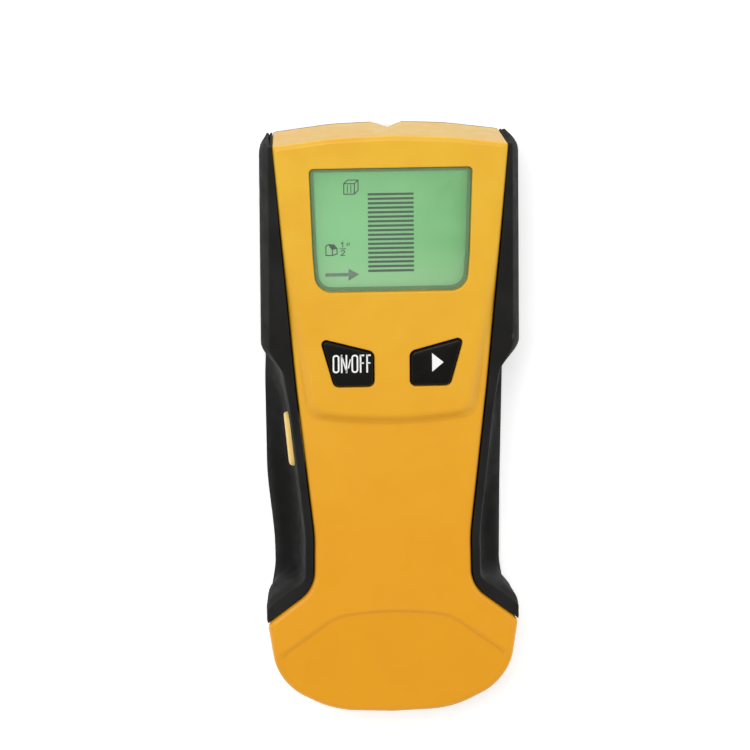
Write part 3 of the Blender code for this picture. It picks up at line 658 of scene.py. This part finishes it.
LOOKS = {
    # In the yellows, the second colour is painted light towards the head and the third a painted sheen on
    # the head end face.
    "yellow": yellow_plastic("yellow_plastic", (0.765, 0.328, 0.0045), (0.765, 0.434, 0.022),
                             (0.62, 0.39, 0.06)),
    "pale_yellow": yellow_plastic("pale_yellow_plastic", (0.85, 0.58, 0.17), (0.85, 0.60, 0.18),
                                  (0.85, 0.60, 0.18)),
    "gasket": plain("gasket_green", (0.075, 0.185, 0.055), 0.5),
    "rubber": black_rubber(),
    "black": black_plastic(),
    "key": key_plastic(),
    "ink": white_ink(),
    "clear": clear_acrylic(),
    "screen": screen_green(),
    "segment": segment_ink(),
    "pale_segment": pale_segment_ink(),
    "milky": milky_plastic(),
    "board": solder_mask(),
    "zinc": metal("zinc_plate", (0.58, 0.58, 0.6), 0.28, 0.45),
    "aluminium": metal("aluminium_can", (0.66, 0.67, 0.69), 0.22, 0.38),
    "coil": coil_wire(),
    "battery": battery_jacket(),
    "chip": plain("chip_resin", (0.018, 0.018, 0.019), 0.55),
    "lamp": plain("lamp_body", (0.72, 0.8, 0.45), 0.35),
    "red": plain("red_insulation", (0.5, 0.014, 0.012), 0.42),
}


# ---------- the front shell
def edge_radius(y):
    return lerp(EDGE, BULB_EDGE, into_bulb(y))


def body_skin(bm, inset, columns, edge, steps):
    """The body's side and face, moved inwards, with the face's edge rounded. Returns the lowest ring."""
    points = body_points(FINE, inset)
    deep = body_points(FINE, inset + BULB_EDGE)
    count = len(points)

    def ring(inwards, downwards):
        made = []
        for p, q in zip(points, deep):
            radius = edge(p.y)
            c = p.lerp(q, inwards * radius / BULB_EDGE)
            made.append(bm.verts.new((c.x, c.y, face_height(c.x, c.y) - inset - downwards * radius)))
        return made

    low = add_loop(bm, drafted(points), PART_LOW)
    rings = [low] + [ring(i, d) for i, d in arc_steps(1.0, steps)]
    for a, b in zip(rings, rings[1:]):
        bridge(bm, a, b)
    inner = rings[-1]
    half = count // 2
    rows = []
    for i in range(1, half):
        left, right = inner[i], inner[count - i]
        y, wide = left.co.y, right.co.x
        across = [lerp(-wide, wide, k / columns) for k in range(1, columns)]
        height = [face_height(x, y) - inset for x in across]
        rows.append([left] + [bm.verts.new((x, y, z)) for x, z in zip(across, height)] + [right])
    for upper, lower in zip(rows, rows[1:]):
        for k in range(len(upper) - 1):
            bm.faces.new((upper[k], lower[k], lower[k + 1], upper[k + 1]))
    for tip, row in ((inner[0], rows[0]), (inner[half], rows[-1])):
        for a, b in zip(row, row[1:]):
            bm.faces.new((tip, a, b))
    return low


def notch():
    """The marking notch: a V cut in the head end that follows its slope and runs out up the front shell."""
    out = SHELL_HIGH.y + 3.0
    rings = []
    depths = ((-2.0, NOTCH_DEPTH + HEAD_TUCK + 0.4), (PART_LOW, NOTCH_DEPTH),
              (NOTCH_TOP, 0.0), (NOTCH_TOP + 2.0, -0.4))
    for z, deep in depths:
        y = SHELL_HIGH.y - deep
        reach = NOTCH_SPREAD * (out - y)
        rings.append(([Vector((-reach, out)), Vector((0.0, y)), Vector((reach, out))], z))
    return loft(*rings)


def opening(points, lip):
    """A cutter for an opening in the face, flared at the top so that the opening has a rounded lip."""
    rings = [(points, CUT_FLOOR)]
    rings += [(grown(points, i), FACE_Z - d) for i, d in arc_steps(lip, 4)]
    return loft(*rings, (grown(points, lip + 0.05), FACE_Z + 3.0))


def key_outline(side):
    corners = [(x * -side, y, r, n) for x, y, r, n in KEY_CORNERS]
    return outline(corners if side < 0 else list(reversed(corners)))


def thumb_outline(spare):
    """The thumb button's stadium inside its rim, as (y, z) points."""
    rim = 1.0
    y0, y1 = THUMB_LOW.y + rim - spare, THUMB_HIGH.y - rim + spare
    z0, z1 = THUMB_LOW.z + rim - spare, THUMB_HIGH.z - rim + spare
    return rectangle(y0, y1, z0, z1, 0.46 * (z1 - z0), 12)


def side_opening(from_x):
    """A cutter for the thumb button's opening, from from_x to inside the shell."""
    return across_x(thumb_outline(GAP), [(from_x, 0.0), (-18.0, 0.0)])


def make_front_shell():
    bm = bmesh.new()
    outer = body_skin(bm, 0.0, 112, edge_radius, 6)
    inner = body_skin(bm, WALL, 12, lambda y: 1.0, 1)
    bridge(bm, outer, inner)
    shell = thing("front_shell_visual", bm, LOOKS["yellow"])
    cut(shell, opening(outline(mirrored(WINDOW_HALF)), 0.35))
    for side in (-1, 1):
        cut(shell, opening(key_outline(side), 0.3))
    cut(shell, side_opening(-30.0))
    cut(shell, notch(), crease=28.0)
    return show(shell, "case", ["front_shell"])


# ---------- the grips
def sampled_half_width():
    """The body's half width as a function of y, read from its own outline."""
    left = [p for p in body_points(FINE) if p.x < -1.0]

    def at(y):
        for a, b in zip(left, left[1:]):
            if a.y >= y >= b.y:
                return -lerp(a.x, b.x, (a.y - y) / max(a.y - b.y, 1e-6))
        return -left[0].x if y > left[0].y else -left[-1].x

    return at


HALF_WIDTH = sampled_half_width()
GRIP_HEAD, GRIP_FOOT, GRIP_WALL_END, GRIP_LEAN = 74.4, -52.4, 73.4, 1.7


def end_slope(y, z):
    """How far a grip's head end moves along the tool, to follow the slopes of the shells it lies on."""
    shift = HEAD_DRAFT * clamp((29.0 - z) / 17.0) - HEAD_TUCK * clamp((12.0 - z) / 9.0)
    return shift * smooth((y - 64.0) / 10.0)


def thumb_rest(y):
    return THUMB_REST * smooth((y + 38.0) / 24.0) * smooth((34.0 - y) / 28.0)


def grip_corners(y, rest):
    """A grip's section at y, from the body's rim to the back: (distance from the middle, height, reach)."""
    body = HALF_WIDTH(min(y, GRIP_WALL_END))
    face = face_height(body - EDGE, y)
    strip = lerp(body + 2.4, HALF_WIDTH(max(y - 3.6, -52.8)) + 0.5, smooth((-39.0 - y) / 5.0))
    low = PLATE_T + GAP
    cheek = [(31.8, face - 1.2), (33.9, 25.0), (33.5, 18.0), (33.0, 12.0), (32.5, 7.0), (32.2, low)]
    waist = [(strip, face - 0.6), (strip + 0.5, 25.0), (strip + 0.5, 18.0), (strip + 1.3, 11.5),
             (28.6 + rest, 6.4), (30.2 + 0.012 * y + rest, low)]
    horn = [(strip, face - 0.8), (33.1, 26.5), (32.4, 18.0), (31.7, 12.0), (31.1, 7.0), (30.8, low)]
    to_cheek = 0.8 * smooth((y - 13.0) / 8.5) + 0.2 * smooth((y - 2.0) / 19.0)
    to_horn = smooth((-40.5 - y) / 10.0)
    blend = [[lerp(w[k], c[k], to_cheek) for k in (0, 1)] for w, c in zip(waist, cheek)]
    blend = [[lerp(b[k], h[k], to_horn) for k in (0, 1)] for b, h in zip(blend, horn)]
    corner = 34.0 - 0.45 * max(0.0, y - 72.6)
    bulb_in = BULB_DRAFT * into_bulb(y)
    head_in = 0.93 * HEAD_LEAN * into_head(y)
    gap = lerp(0.35, 0.12, smooth((y - 50.0) / 15.0))
    lean = GRIP_LEAN * smooth((y - 71.0) / 3.4)

    def wall(z):
        lower = clamp((FACE_Z - EDGE - z) / (FACE_Z - EDGE - PART_LOW))
        return body + gap - head_in * lower - bulb_in * clamp((FACE_Z - 4.0 - z) / 16.0)

    reaches = (0.5, 2.0, 2.4, 3.0, 1.6, 0.35)
    outside = [(max(min(u, corner) - lean * clamp((29.0 - z) / 17.0), wall(z) + 0.25), z, r)
               for (u, z), r in zip(blend, reaches)]
    inside = [(wall(low), low, 0.2), (wall(PART_LOW), PART_LOW, 0.2)]
    return [(wall(face), face - 0.15, 0.35)] + outside + inside


def soften(corners):
    """A closed section with each corner replaced by a short curve that starts its reach away."""
    points, steps = [], 5
    for i, (u, z, reach) in enumerate(corners):
        here = Vector((u, z))
        before = Vector(corners[i - 1][:2]) - here
        after = Vector(corners[(i + 1) % len(corners)][:2]) - here
        start = here + before.normalized() * min(reach, 0.45 * before.length)
        end = here + after.normalized() * min(reach, 0.45 * after.length)
        for k in range(steps):
            t = k / (steps - 1)
            points.append(start * (1 - t) ** 2 + here * 2 * t * (1 - t) + end * t * t)
    return points


def make_grip(name, side):
    step, round_over = 0.7, 0.4
    count = int((GRIP_HEAD - GRIP_FOOT - 2 * round_over) / step)
    middle = [lerp(GRIP_HEAD - round_over, GRIP_FOOT + round_over, k / count) for k in range(count + 1)]
    bm = bmesh.new()
    loops = []

    def ring(y, section_y, inset):
        section = soften(grip_corners(section_y, thumb_rest(section_y) if side < 0 else 0.0))
        if inset:
            section = grown(section, inset)
        loops.append([bm.verts.new((side * p.x, y + end_slope(y, p.y), p.y)) for p in section])

    sinks = [round_over * share for share in (0.0, 0.13, 0.5)]
    for sink in sinks:
        ring(GRIP_HEAD - sink, GRIP_HEAD - sink, inset_at(sink, round_over))
    for y in middle:
        ring(y, y, 0.0)
    for sink in reversed(sinks):
        ring(GRIP_FOOT + sink, GRIP_FOOT + sink, inset_at(sink, round_over))
    grip = thing(name + "_visual", skin(bm, loops), LOOKS["rubber"], crease=30.0)
    if side < 0:
        cut(grip, side_opening(-40.0), crease=30.0)
    cut(grip, together(*[rib_groove(side, 27.0 + 3.3 * k) for k in range(11)]), crease=30.0)
    return show(grip, "case", [name])


def rib_groove(side, y):
    """A shallow upright groove in a cheek, which fades out at both ends."""
    rings = []
    for u, z in ((33.3, 6.2), (32.1, 7.2), (32.6, 12.0), (33.1, 18.0), (34.3, 19.6)):
        near, far = side * u, side * 36.0
        rings.append(([Vector((near, y - 0.35)), Vector((far, y - 1.3)), Vector((far, y + 1.3)),
                       Vector((near, y + 0.35))], z))
    return loft(*rings)


def inset_at(sink, radius):
    """How far the outline is drawn in, at a distance sink from an end that is rounded over radius."""
    return radius - math.sqrt(max(0.0, radius * radius - (radius - sink) ** 2))


# ---------- the back
def make_back_shell():
    plate_points = outline(mirrored(PLATE_HALF), 3.0)
    shell = thing("back_shell_visual", plate(plate_points, 0.0, PLATE_T, 1.0, 0.25, 5), LOOKS["black"])
    points = drafted(body_points(2.0))
    low = tucked(drafted(body_points(2.0, 0.5)))
    carve(shell, "UNION", loft((low, 0.6), (points, PART_LOW - GAP - 0.35),
                               (grown(points, -0.35), PART_LOW - GAP)))
    hollow = drafted(body_points(2.0, WALL))
    cut(shell, loft((tucked(hollow), WALL), (hollow, PART_LOW + 1.0)))
    wide = DOOR_HIGH.x + 0.3
    tub_low, tub_high = BATTERY_LOW.y - 0.6, -11.0
    outer_low, outer_high = (-wide, tub_low - 2.0, 1.0), (wide, tub_high + 2.0, BACK_HIGH.z)
    post, tub_half = 3.4, 14.0
    posts = [turned([(0.0, 1.0), (post, 1.0), (post, PART_LOW - 1.0), (0.0, PART_LOW - 1.0)], x, y)
             for x, y in CASE_SCREWS if y < 0]
    carve(shell, "UNION", together(block(outer_low, outer_high, 1.0, 0.3), *posts))
    cut(shell, block((-tub_half, tub_low, 1.0), (tub_half, tub_high, BACK_HIGH.z - 2.0), 0.6))
    x = DOOR_HIGH.x - PIN + GAP
    recess = rectangle(-x, x, DOOR_LOW.y - GAP, DOOR_HIGH.y + GAP, 0.8, 5)
    lip = [(recess, DOOR_T + GAP), (recess, 0.3), (grown(recess, 0.3), 0.0), (grown(recess, 0.3), -1.0)]
    cut(shell, loft(*lip))
    scoop = turned([(0.0, -1.0), (7.2, -1.0), (7.0, 0.0), (5.6, 0.6), (3.0, 0.95), (0.0, 1.05)], 0.0,
                   DOOR_HIGH.y + 2.4)
    cuts = [scoop, rod(0.9, (-x - 0.6, HINGE_Y, DOOR_T / 2), (x + 0.6, HINGE_Y, DOOR_T / 2), 24),
            block((-8.0, tub_high - 1.0, 9.0), (8.0, tub_high + 3.0, 15.0))]
    cut(shell, together(*cuts))
    for x, y in CASE_SCREWS:
        bore = 2.8 if y < 0 else 1.9
        profile = [(0.0, -1.0), (bore + 1.4, -1.0), (bore + 0.4, 0.0), (bore, 0.4), (bore, 8.0), (0.0, 8.0)]
        cut(shell, turned(profile, x, y, 40))
    label = rectangle(-19.0, 19.0, 8.0, 52.0, 2.0, 6)
    cut(shell, loft((label, 0.25), (grown(label, 0.15), 0.0), (grown(label, 0.15), -1.0)))
    cut(shell, notch(), crease=20.0)
    return show(shell, "case", ["back_shell"])


def make_door():
    """The battery door: a rounded nose on its hinge line, pins, ribs inside and finger grooves outside."""
    x, far = DOOR_HIGH.x - PIN, DOOR_HIGH.y
    nose = [(HINGE_Y + 0.5 * DOOR_T * math.cos(a), 0.5 * DOOR_T + 0.5 * DOOR_T * math.sin(a))
            for a in (math.pi / 2 + math.pi * k / 12 for k in range(13))]
    section = nose + [(far - 0.25, 0.0), (far, 0.25), (far, DOOR_T - 0.2), (far - 0.2, DOOR_T)]
    bm = across_x([Vector(p) for p in section], [(-x, 0.2), (-x + 0.2, 0.0), (x - 0.2, 0.0), (x, 0.2)])
    door = thing("battery_door_visual", bm, LOOKS["black"])
    pins = [rod(0.6, (s * (x - PIN), HINGE_Y, DOOR_T / 2), (s * (x + PIN), HINGE_Y, DOOR_T / 2), 20)
            for s in (-1, 1)]
    ribs = [block((r - 0.6, -62.0, DOOR_T - 0.5), (r + 0.6, -16.0, DOOR_HIGH.z), 0.4)
            for r in (-9.0, 0.0, 9.0)]
    carve(door, "UNION", together(*pins, *ribs))
    for k in range(6):
        y = far - 3.4 - 1.9 * k
        wide = 7.5 - 0.35 * k
        groove = across_x(circle(0.62, y, -0.1, 20),
                          [(-wide, 0.45), (-wide + 0.5, 0.0), (wide - 0.5, 0.0), (wide, 0.45)])
        cut(door, groove, crease=30.0)
    return show(door, "door", ["battery_door"])


def make_case_screw(name, x, y):
    low, high = node_box(name)
    radius = high.x - x
    top = low.z + 2.1
    profile = [(0.0, low.z + 0.02), (0.72 * radius, low.z), (0.93 * radius, low.z + 0.15),
               (radius, low.z + 0.5), (radius, top), (0.95, top)]
    z = top
    while z < high.z - 2.2:
        profile += [(0.78, z + 0.2), (0.95, z + 0.6)]
        z += 0.75
    profile += [(0.7, z + 0.3), (0.0, high.z)]
    screw = thing(name + "_visual", turned(profile, x, y, 32), LOOKS["zinc"], crease=35.0)
    arm, half = 0.62 * radius, 0.16 * radius
    turn = random.Random(name).uniform(0.0, math.pi / 2)
    for k in range(2):
        slot = block((-arm, -half, low.z - 1.0), (arm, half, low.z + 0.9))
        spin = Matrix.Rotation(turn + k * math.pi / 2, 4, "Z")
        bmesh.ops.transform(slot, matrix=Matrix.Translation((x, y, 0.0)) @ spin, verts=slot.verts)
        cut(screw, slot, crease=35.0)
    return show(screw, "case", [name])


# ---------- the keys
def make_key(name, body, side, node, symbol):
    """A key: its flange stays inside, its cap has rounded edges and a faint crown."""
    points = key_outline(side)
    cap = grown(points, -GAP - 0.05)
    flange = grown(points, 0.85)
    rings = [(flange, KEY_LOW.z), (flange, KEY_LOW.z + 0.8), (cap, KEY_LOW.z + 1.1)]
    top = KEY_HIGH.z - 0.12
    rings += [(grown(cap, -i), top - d) for i, d in arc_steps(0.55, 5)]
    rings += [(inset_about_middle(grown(cap, -0.55), share), top + rise)
              for share, rise in ((0.85, 0.04), (0.6, 0.075), (0.3, 0.095), (0.1, 0.1))]
    key = thing(name + "_visual", loft(*rings), LOOKS["key"], crease=40.0)
    show(key, body, [node])
    mark = thing(name + "_symbol", symbol, LOOKS["ink"])
    show(mark, body)


def inset_about_middle(points, share):
    middle = sum(points, Vector((0.0, 0.0))) / len(points)
    return [middle + (p - middle) * share for p in points]


def stroke(path, width, z0, z1, closed=False):
    """A thin raised line of even width along a path of (x, y) points, with mitred corners."""
    pts = [Vector(p) for p in path]
    sides = ([], [])
    for i, p in enumerate(pts):
        before = pts[i] - pts[i - 1] if i or closed else pts[1] - pts[0]
        after = pts[(i + 1) % len(pts)] - pts[i] if i < len(pts) - 1 or closed else before
        a, b = before.normalized(), after.normalized()
        normal = Vector((-a.y - b.y, a.x + b.x)).normalized()
        reach = 0.5 * width / max(0.35, normal.dot(Vector((-a.y, a.x))))
        sides[0].append(p + normal * reach)
        sides[1].append(p - normal * reach)
    bm = bmesh.new()
    rails = [[bm.verts.new((p.x, p.y, z)) for p in s] for s, z in
             ((sides[0], z0), (sides[0], z1), (sides[1], z1), (sides[1], z0))]
    spans = range(len(pts) if closed else len(pts) - 1)
    for r in range(4):
        one, two = rails[r], rails[(r + 1) % 4]
        for i in spans:
            j = (i + 1) % len(pts)
            bm.faces.new((one[i], one[j], two[j], two[i]))
    if not closed:
        bm.faces.new([r[0] for r in rails])
        bm.faces.new([r[-1] for r in rails])
    return bm


def switch_legend(x, y, z0, z1):
    """The plain on / off wording of a power key, as strokes."""
    tall, pen, wide, narrow = 4.8, 0.42, 1.36, 0.95
    low, high = y - tall / 2, y + tall / 2

    def letter_o(left):
        ends = ((left, high - pen / 2), (left, low + pen / 2),
                (left + wide, low + pen / 2), (left + wide, high - pen / 2))
        return [stroke(outline([(a, b, 0.6, 6) for a, b in ends]), pen, z0, z1, closed=True)]

    def letter_n(left):
        right = left + wide - 0.12
        return [stroke([(left, low), (left, high)], pen, z0, z1),
                stroke([(right, low), (right, high)], pen, z0, z1),
                stroke([(left, high - 0.2), (right, low + 0.2)], pen * 0.72, z0, z1)]

    def letter_f(left):
        return [stroke([(left, low), (left, high)], pen, z0, z1),
                stroke([(left, high - pen / 2), (left + narrow, high - pen / 2)], pen, z0, z1),
                stroke([(left, y + 0.15), (left + narrow - 0.1, y + 0.15)], pen * 0.9, z0, z1)]

    start = x - 4.95 + pen / 2
    solids = letter_o(start) + letter_n(start + 2.15)
    slash = start + 4.12
    solids.append(stroke([(slash - 0.22, y - 1.2), (slash + 0.3, y + 1.2)], pen * 0.7, z0, z1))
    solids += letter_o(start + 4.9) + letter_f(start + 7.08) + letter_f(start + 8.78)
    return together(*solids)


def arrowhead(x, y, wide, tall, z0, z1):
    back, tip = x - wide / 2, x + wide / 2
    corners = ((back, y + tall / 2), (back, y - tall / 2), (tip, y))
    return plate([Vector(p) for p in corners], z0, z1)


def make_keys():
    z0 = KEY_HIGH.z - 0.10
    z1 = KEY_HIGH.z - 0.005
    y = 0.5 * (KEY_LOW.y + KEY_HIGH.y) + 0.1
    make_key("power_key", "power_key", -1, "power_button", switch_legend(-10.6, y, z0, z1))
    make_key("mode_key", "mode_key", 1, "mode_button", arrowhead(11.9, y, 3.0, 4.9, z0, z1))


def make_thumb_button():
    x0 = THUMB_LOW.x
    rings = [(THUMB_HIGH.x, -1.0), (THUMB_HIGH.x - 0.9, -1.0), (THUMB_HIGH.x - 1.0, 0.0)]
    rings += [(x0 + d, i) for i, d in arc_steps(0.9, 5)]
    cap = across_x(thumb_outline(0.0), rings)
    for vert in cap.verts:
        vert.co.x += THUMB_SLANT * (THUMB_HIGH.y - 1.8 - vert.co.y) * smooth((-21.0 - vert.co.x) / 3.0)
    button = thing("thumb_button_visual", cap, LOOKS["pale_yellow"], crease=40.0)
    for k in range(-2, 3):
        y = 0.5 * (THUMB_LOW.y + THUMB_HIGH.y) + 1.9 * k
        z = 0.5 * (THUMB_LOW.z + THUMB_HIGH.z)
        x = x0 - 0.25 + THUMB_SLANT * (THUMB_HIGH.y - 1.8 - y)
        groove = rod(0.45, (x, y, z - 1.9), (x, y, z + 1.9), 20)
        cut(button, groove, crease=35.0)
    return show(button, "thumb_key", ["side_button"])


# ---------- the display
def make_display():
    window = outline(mirrored(WINDOW_HALF))
    lens = plate(grown(window, -GAP), LENS_LOW.z, LENS_HIGH.z, 0.08, 0.25, 3)
    show(thing("window_visual", lens, LOOKS["clear"]), "case", ["lcd_window"])
    cell = block(SCREEN_LOW, SCREEN_HIGH, 0.4, 0.1)
    show(thing("screen_visual", cell, LOOKS["screen"]), "case", ["lcd_glass"])
    z0, z1 = SCREEN_HIGH.z + 0.01, SCREEN_HIGH.z + 0.05
    show(thing("screen_segments", screen_segments(z0, z1), LOOKS["segment"]), "case")
    show(thing("screen_arrow", screen_arrow(z0, z1), LOOKS["pale_segment"]), "case")


def screen_segments(z0, z1):
    """The bar graph, and the small marks for the mode and the depth."""
    bars, pitch, thick, left, right, top = 18, 1.188, 0.62, -5.9, 6.05, 61.25
    solids = [block((left, top - pitch * k - thick / 2, z0), (right, top - pitch * k + thick / 2, z1))
              for k in range(bars)]

    def line(points, pen, closed=False):
        solids.append(stroke(points, pen, z0, z1, closed))

    pen, x, y, size, back = 0.27, -12.1, 61.4, 2.75, 0.95
    line([(x, y), (x + size, y), (x + size, y + size), (x, y + size)], pen, closed=True)
    line([(x, y + size), (x + back, y + size + back), (x + size + back, y + size + back),
          (x + size + back, y + back), (x + size, y)], pen)
    line([(x + size, y + size), (x + size + back, y + size + back)], pen)
    for k in (1, 2):
        line([(x + size * k / 3, y + 0.35), (x + size * k / 3, y + size - 0.35)], pen * 0.8)

    x, y = -16.9, 45.3
    line([(x, y), (x + 1.7, y), (x + 1.7, y + 1.5), (x + 0.75, y + 2.85), (x, y + 2.5)], 0.27, closed=True)
    line([(x + 1.7, y), (x + 2.9, y + 0.35), (x + 2.9, y + 1.9)], 0.27)
    solids.append(plate([Vector(p) for p in ((x + 0.75, y + 3.0), (x + 1.55, y + 1.4), (x + 3.05, y + 1.8),
                                             (x + 2.2, y + 2.9))], z0, z1))
    x = -12.45
    line([(x - 0.5, y + 3.0), (x - 0.05, y + 3.45), (x - 0.05, y + 2.1)], 0.24)
    line([(x - 0.85, y + 1.72), (x + 0.85, y + 1.72)], 0.2)
    line([(x - 0.5, y + 0.95), (x - 0.25, y + 1.3), (x + 0.25, y + 1.3), (x + 0.48, y + 0.9),
          (x - 0.5, y - 0.05), (x + 0.55, y - 0.05)], 0.24)
    for k in (0, 1):
        line([(x + 1.0 + 0.5 * k, y + 2.45), (x + 1.25 + 0.5 * k, y + 3.3)], 0.22)
    return together(*solids)


def screen_arrow(z0, z1):
    """The arrow that points at the bars."""
    y, tail, neck, tip, half = 40.15, -17.1, -11.05, -8.25, 0.45
    corners = ((tail, y + half), (tail, y - half), (neck, y - half), (neck, y - 1.6), (tip, y),
               (neck, y + 1.6), (neck, y + half))
    return plate([Vector(p) for p in corners], z0, z1)


# ---------- what is inside
def repaint(node, look):
    """Gives a CAD node its material. Its mesh stays as it is: modifiers weld it and break its edges."""
    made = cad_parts[node]
    made.data.materials.clear()
    made.data.materials.append(LOOKS[look])
    weld = made.modifiers.new("weld", "WELD")
    weld.merge_threshold = 0.00001
    low, high = node_box(node)
    step = made.modifiers.new("edges", "BEVEL")
    step.width = min(0.15, 0.08 * min(high - low)) * MM
    step.segments = 2
    step.limit_method = "ANGLE"
    step.angle_limit = math.radians(40.0)


def make_battery():
    """A 9 V block: rounded jacket, a rolled rim at each end, and its two snap contacts."""
    low, high = BATTERY_LOW, BATTERY_HIGH
    end = high.y - 2.4
    z = 0.5 * (low.z + high.z)
    section = rectangle(low.x, high.x, low.z, high.z, 2.2, 8)

    stations = [(low.y, 1.0), (low.y, 0.35), (low.y + 0.35, 0.0), (low.y + 0.9, 0.0), (low.y + 1.1, 0.2),
                (end - 1.1, 0.2), (end - 0.9, 0.0), (end - 0.35, 0.0), (end, 0.35), (end, 1.0)]
    jacket = thing("battery_visual", along_y(section, stations), LOOKS["battery"])
    show(jacket, "case", ["battery"])
    contacts = []
    for radius, x in ((2.8, -6.35), (3.9, 6.35)):
        stations = [(end + 0.02, 0.3), (end + 0.5, 0.0), (high.y - 0.3, 0.0), (high.y, 0.3), (high.y, 0.9),
                    (high.y - 0.5, 1.1)]
        contacts.append(along_y(circle(radius, x, z, 32), stations))
    show(thing("battery_contacts", together(*contacts), LOOKS["zinc"]), "case")


INSIDE = {
    "window_gasket": "gasket", "zebra_strip": "rubber", "lcd_backlight": "milky",
    "backlight_led_1": "lamp", "backlight_led_2": "lamp",
    "main_board": "board", "sensor_board": "board", "sensing_coil": "coil",
    "board_connector": "chip", "processor": "chip", "buzzer": "chip", "battery_snap": "black",
    "power_switch": "chip", "mode_switch": "chip", "side_switch": "chip",
    "power_switch_plunger": "aluminium", "mode_switch_plunger": "aluminium",
    "side_switch_plunger": "aluminium",
    "capacitor": "aluminium", "board_screw_1": "zinc", "board_screw_2": "zinc", "board_screw_3": "zinc",
    "battery_lead_red": "red", "battery_lead_black": "black",
}


# ---------- floor, light and camera
def make_floor():
    look = Look("studio_floor", (0.93, 0.93, 0.925), 0.7, Specular_IOR_Level=0.1,
                Emission_Color=(1.0, 1.0, 1.0, 1.0), Emission_Strength=0.38)
    look.patches((0.95, 0.95, 0.945), 60.0, 2.0, 0.4, 0.6)
    mesh = bpy.data.meshes.new("studio_floor")
    reach = 4.0
    mesh.from_pydata([(-reach, -reach, 0), (reach, -reach, 0), (reach, reach, 0), (-reach, reach, 0)], [],
                     [(0, 1, 2, 3)])
    floor = bpy.data.objects.new("studio_floor", mesh)
    floor.location.z = -0.0002
    mesh.materials.append(look.material)
    put_in_scene(floor)


def softbox(name, place, aim, size, watts):
    light = bpy.data.lights.new(name, "AREA")
    light.shape = "RECTANGLE"
    light.size, light.size_y = size
    light.energy = watts
    made = bpy.data.objects.new(name, light)
    made.location = place
    made.rotation_euler = (Vector(aim) - Vector(place)).to_track_quat("-Z", "Y").to_euler()
    put_in_scene(made)


def make_light():
    """A bright horizon under a dimmer zenith, a large light high up past the head end and a smaller one at
    each side.
    """
    world = bpy.data.worlds.new("studio")
    world.use_nodes = True
    tree = world.node_tree
    back = tree.nodes["Background"]
    place = tree.nodes.new("ShaderNodeTexCoord")
    apart = tree.nodes.new("ShaderNodeSeparateXYZ")
    fade = tree.nodes.new("ShaderNodeMapRange")
    fade.inputs["From Min"].default_value, fade.inputs["From Max"].default_value = 0.45, 0.95
    fade.inputs["To Min"].default_value, fade.inputs["To Max"].default_value = 0.78, 0.26
    tree.links.new(place.outputs["Generated"], apart.inputs[0])
    tree.links.new(apart.outputs["Z"], fade.inputs["Value"])
    tree.links.new(fade.outputs["Result"], back.inputs["Strength"])
    back.inputs["Color"].default_value = (1.0, 1.0, 1.0, 1.0)
    bpy.context.scene.world = world
    softbox("head_light", (-0.25, 0.5, 1.35), (0.0, 0.03, 0.0), (0.9, 0.6), 11.0)
    softbox("left_light", (-1.15, 0.15, 0.8), (0.0, 0.0, 0.0), (0.5, 0.9), 1.6)
    softbox("right_light", (1.2, 0.1, 0.9), (0.0, 0.0, 0.0), (0.5, 0.9), 2.8)
    bpy.context.scene.view_settings.view_transform = "Standard"


def make_camera():
    """A long lens above the face, a little towards the thumb button's side and towards the head."""
    sideways, headwards, roll = math.radians(3.2), math.radians(11.0), math.radians(0.45)
    distance, frame_mm, film_mm = 2.4, 195.4, 36.0
    out = Vector((-math.sin(sideways) * math.cos(headwards), math.sin(headwards),
                  math.cos(sideways) * math.cos(headwards)))
    flat_right = Vector((math.cos(sideways), 0.0, math.sin(sideways)))
    flat_up = out.cross(flat_right)
    right = flat_right * math.cos(roll) - flat_up * math.sin(roll)
    up = flat_up * math.cos(roll) + flat_right * math.sin(roll)
    aim = Vector((-4.5, 13.9, FACE_Z)) * MM
    camera = bpy.data.cameras.new("camera")
    camera.sensor_width = film_mm
    camera.lens = film_mm * distance / (frame_mm * MM)
    camera.clip_end = 20.0
    made = bpy.data.objects.new("camera", camera)
    turn = Matrix((right, up, out)).transposed().to_4x4()
    made.matrix_world = Matrix.Translation(aim + out * distance) @ turn
    bpy.context.scene.camera = put_in_scene(made)


make_camera()
make_front_shell()
make_grip("left_grip", -1)
make_grip("right_grip", 1)
make_back_shell()
make_door()
for number, (screw_x, screw_y) in enumerate(CASE_SCREWS, 1):
    make_case_screw(f"case_screw_{number}", screw_x, screw_y)
make_keys()
make_thumb_button()
make_display()
make_battery()
for inside_node, inside_look in INSIDE.items():
    repaint(inside_node, inside_look)
make_floor()
make_light()
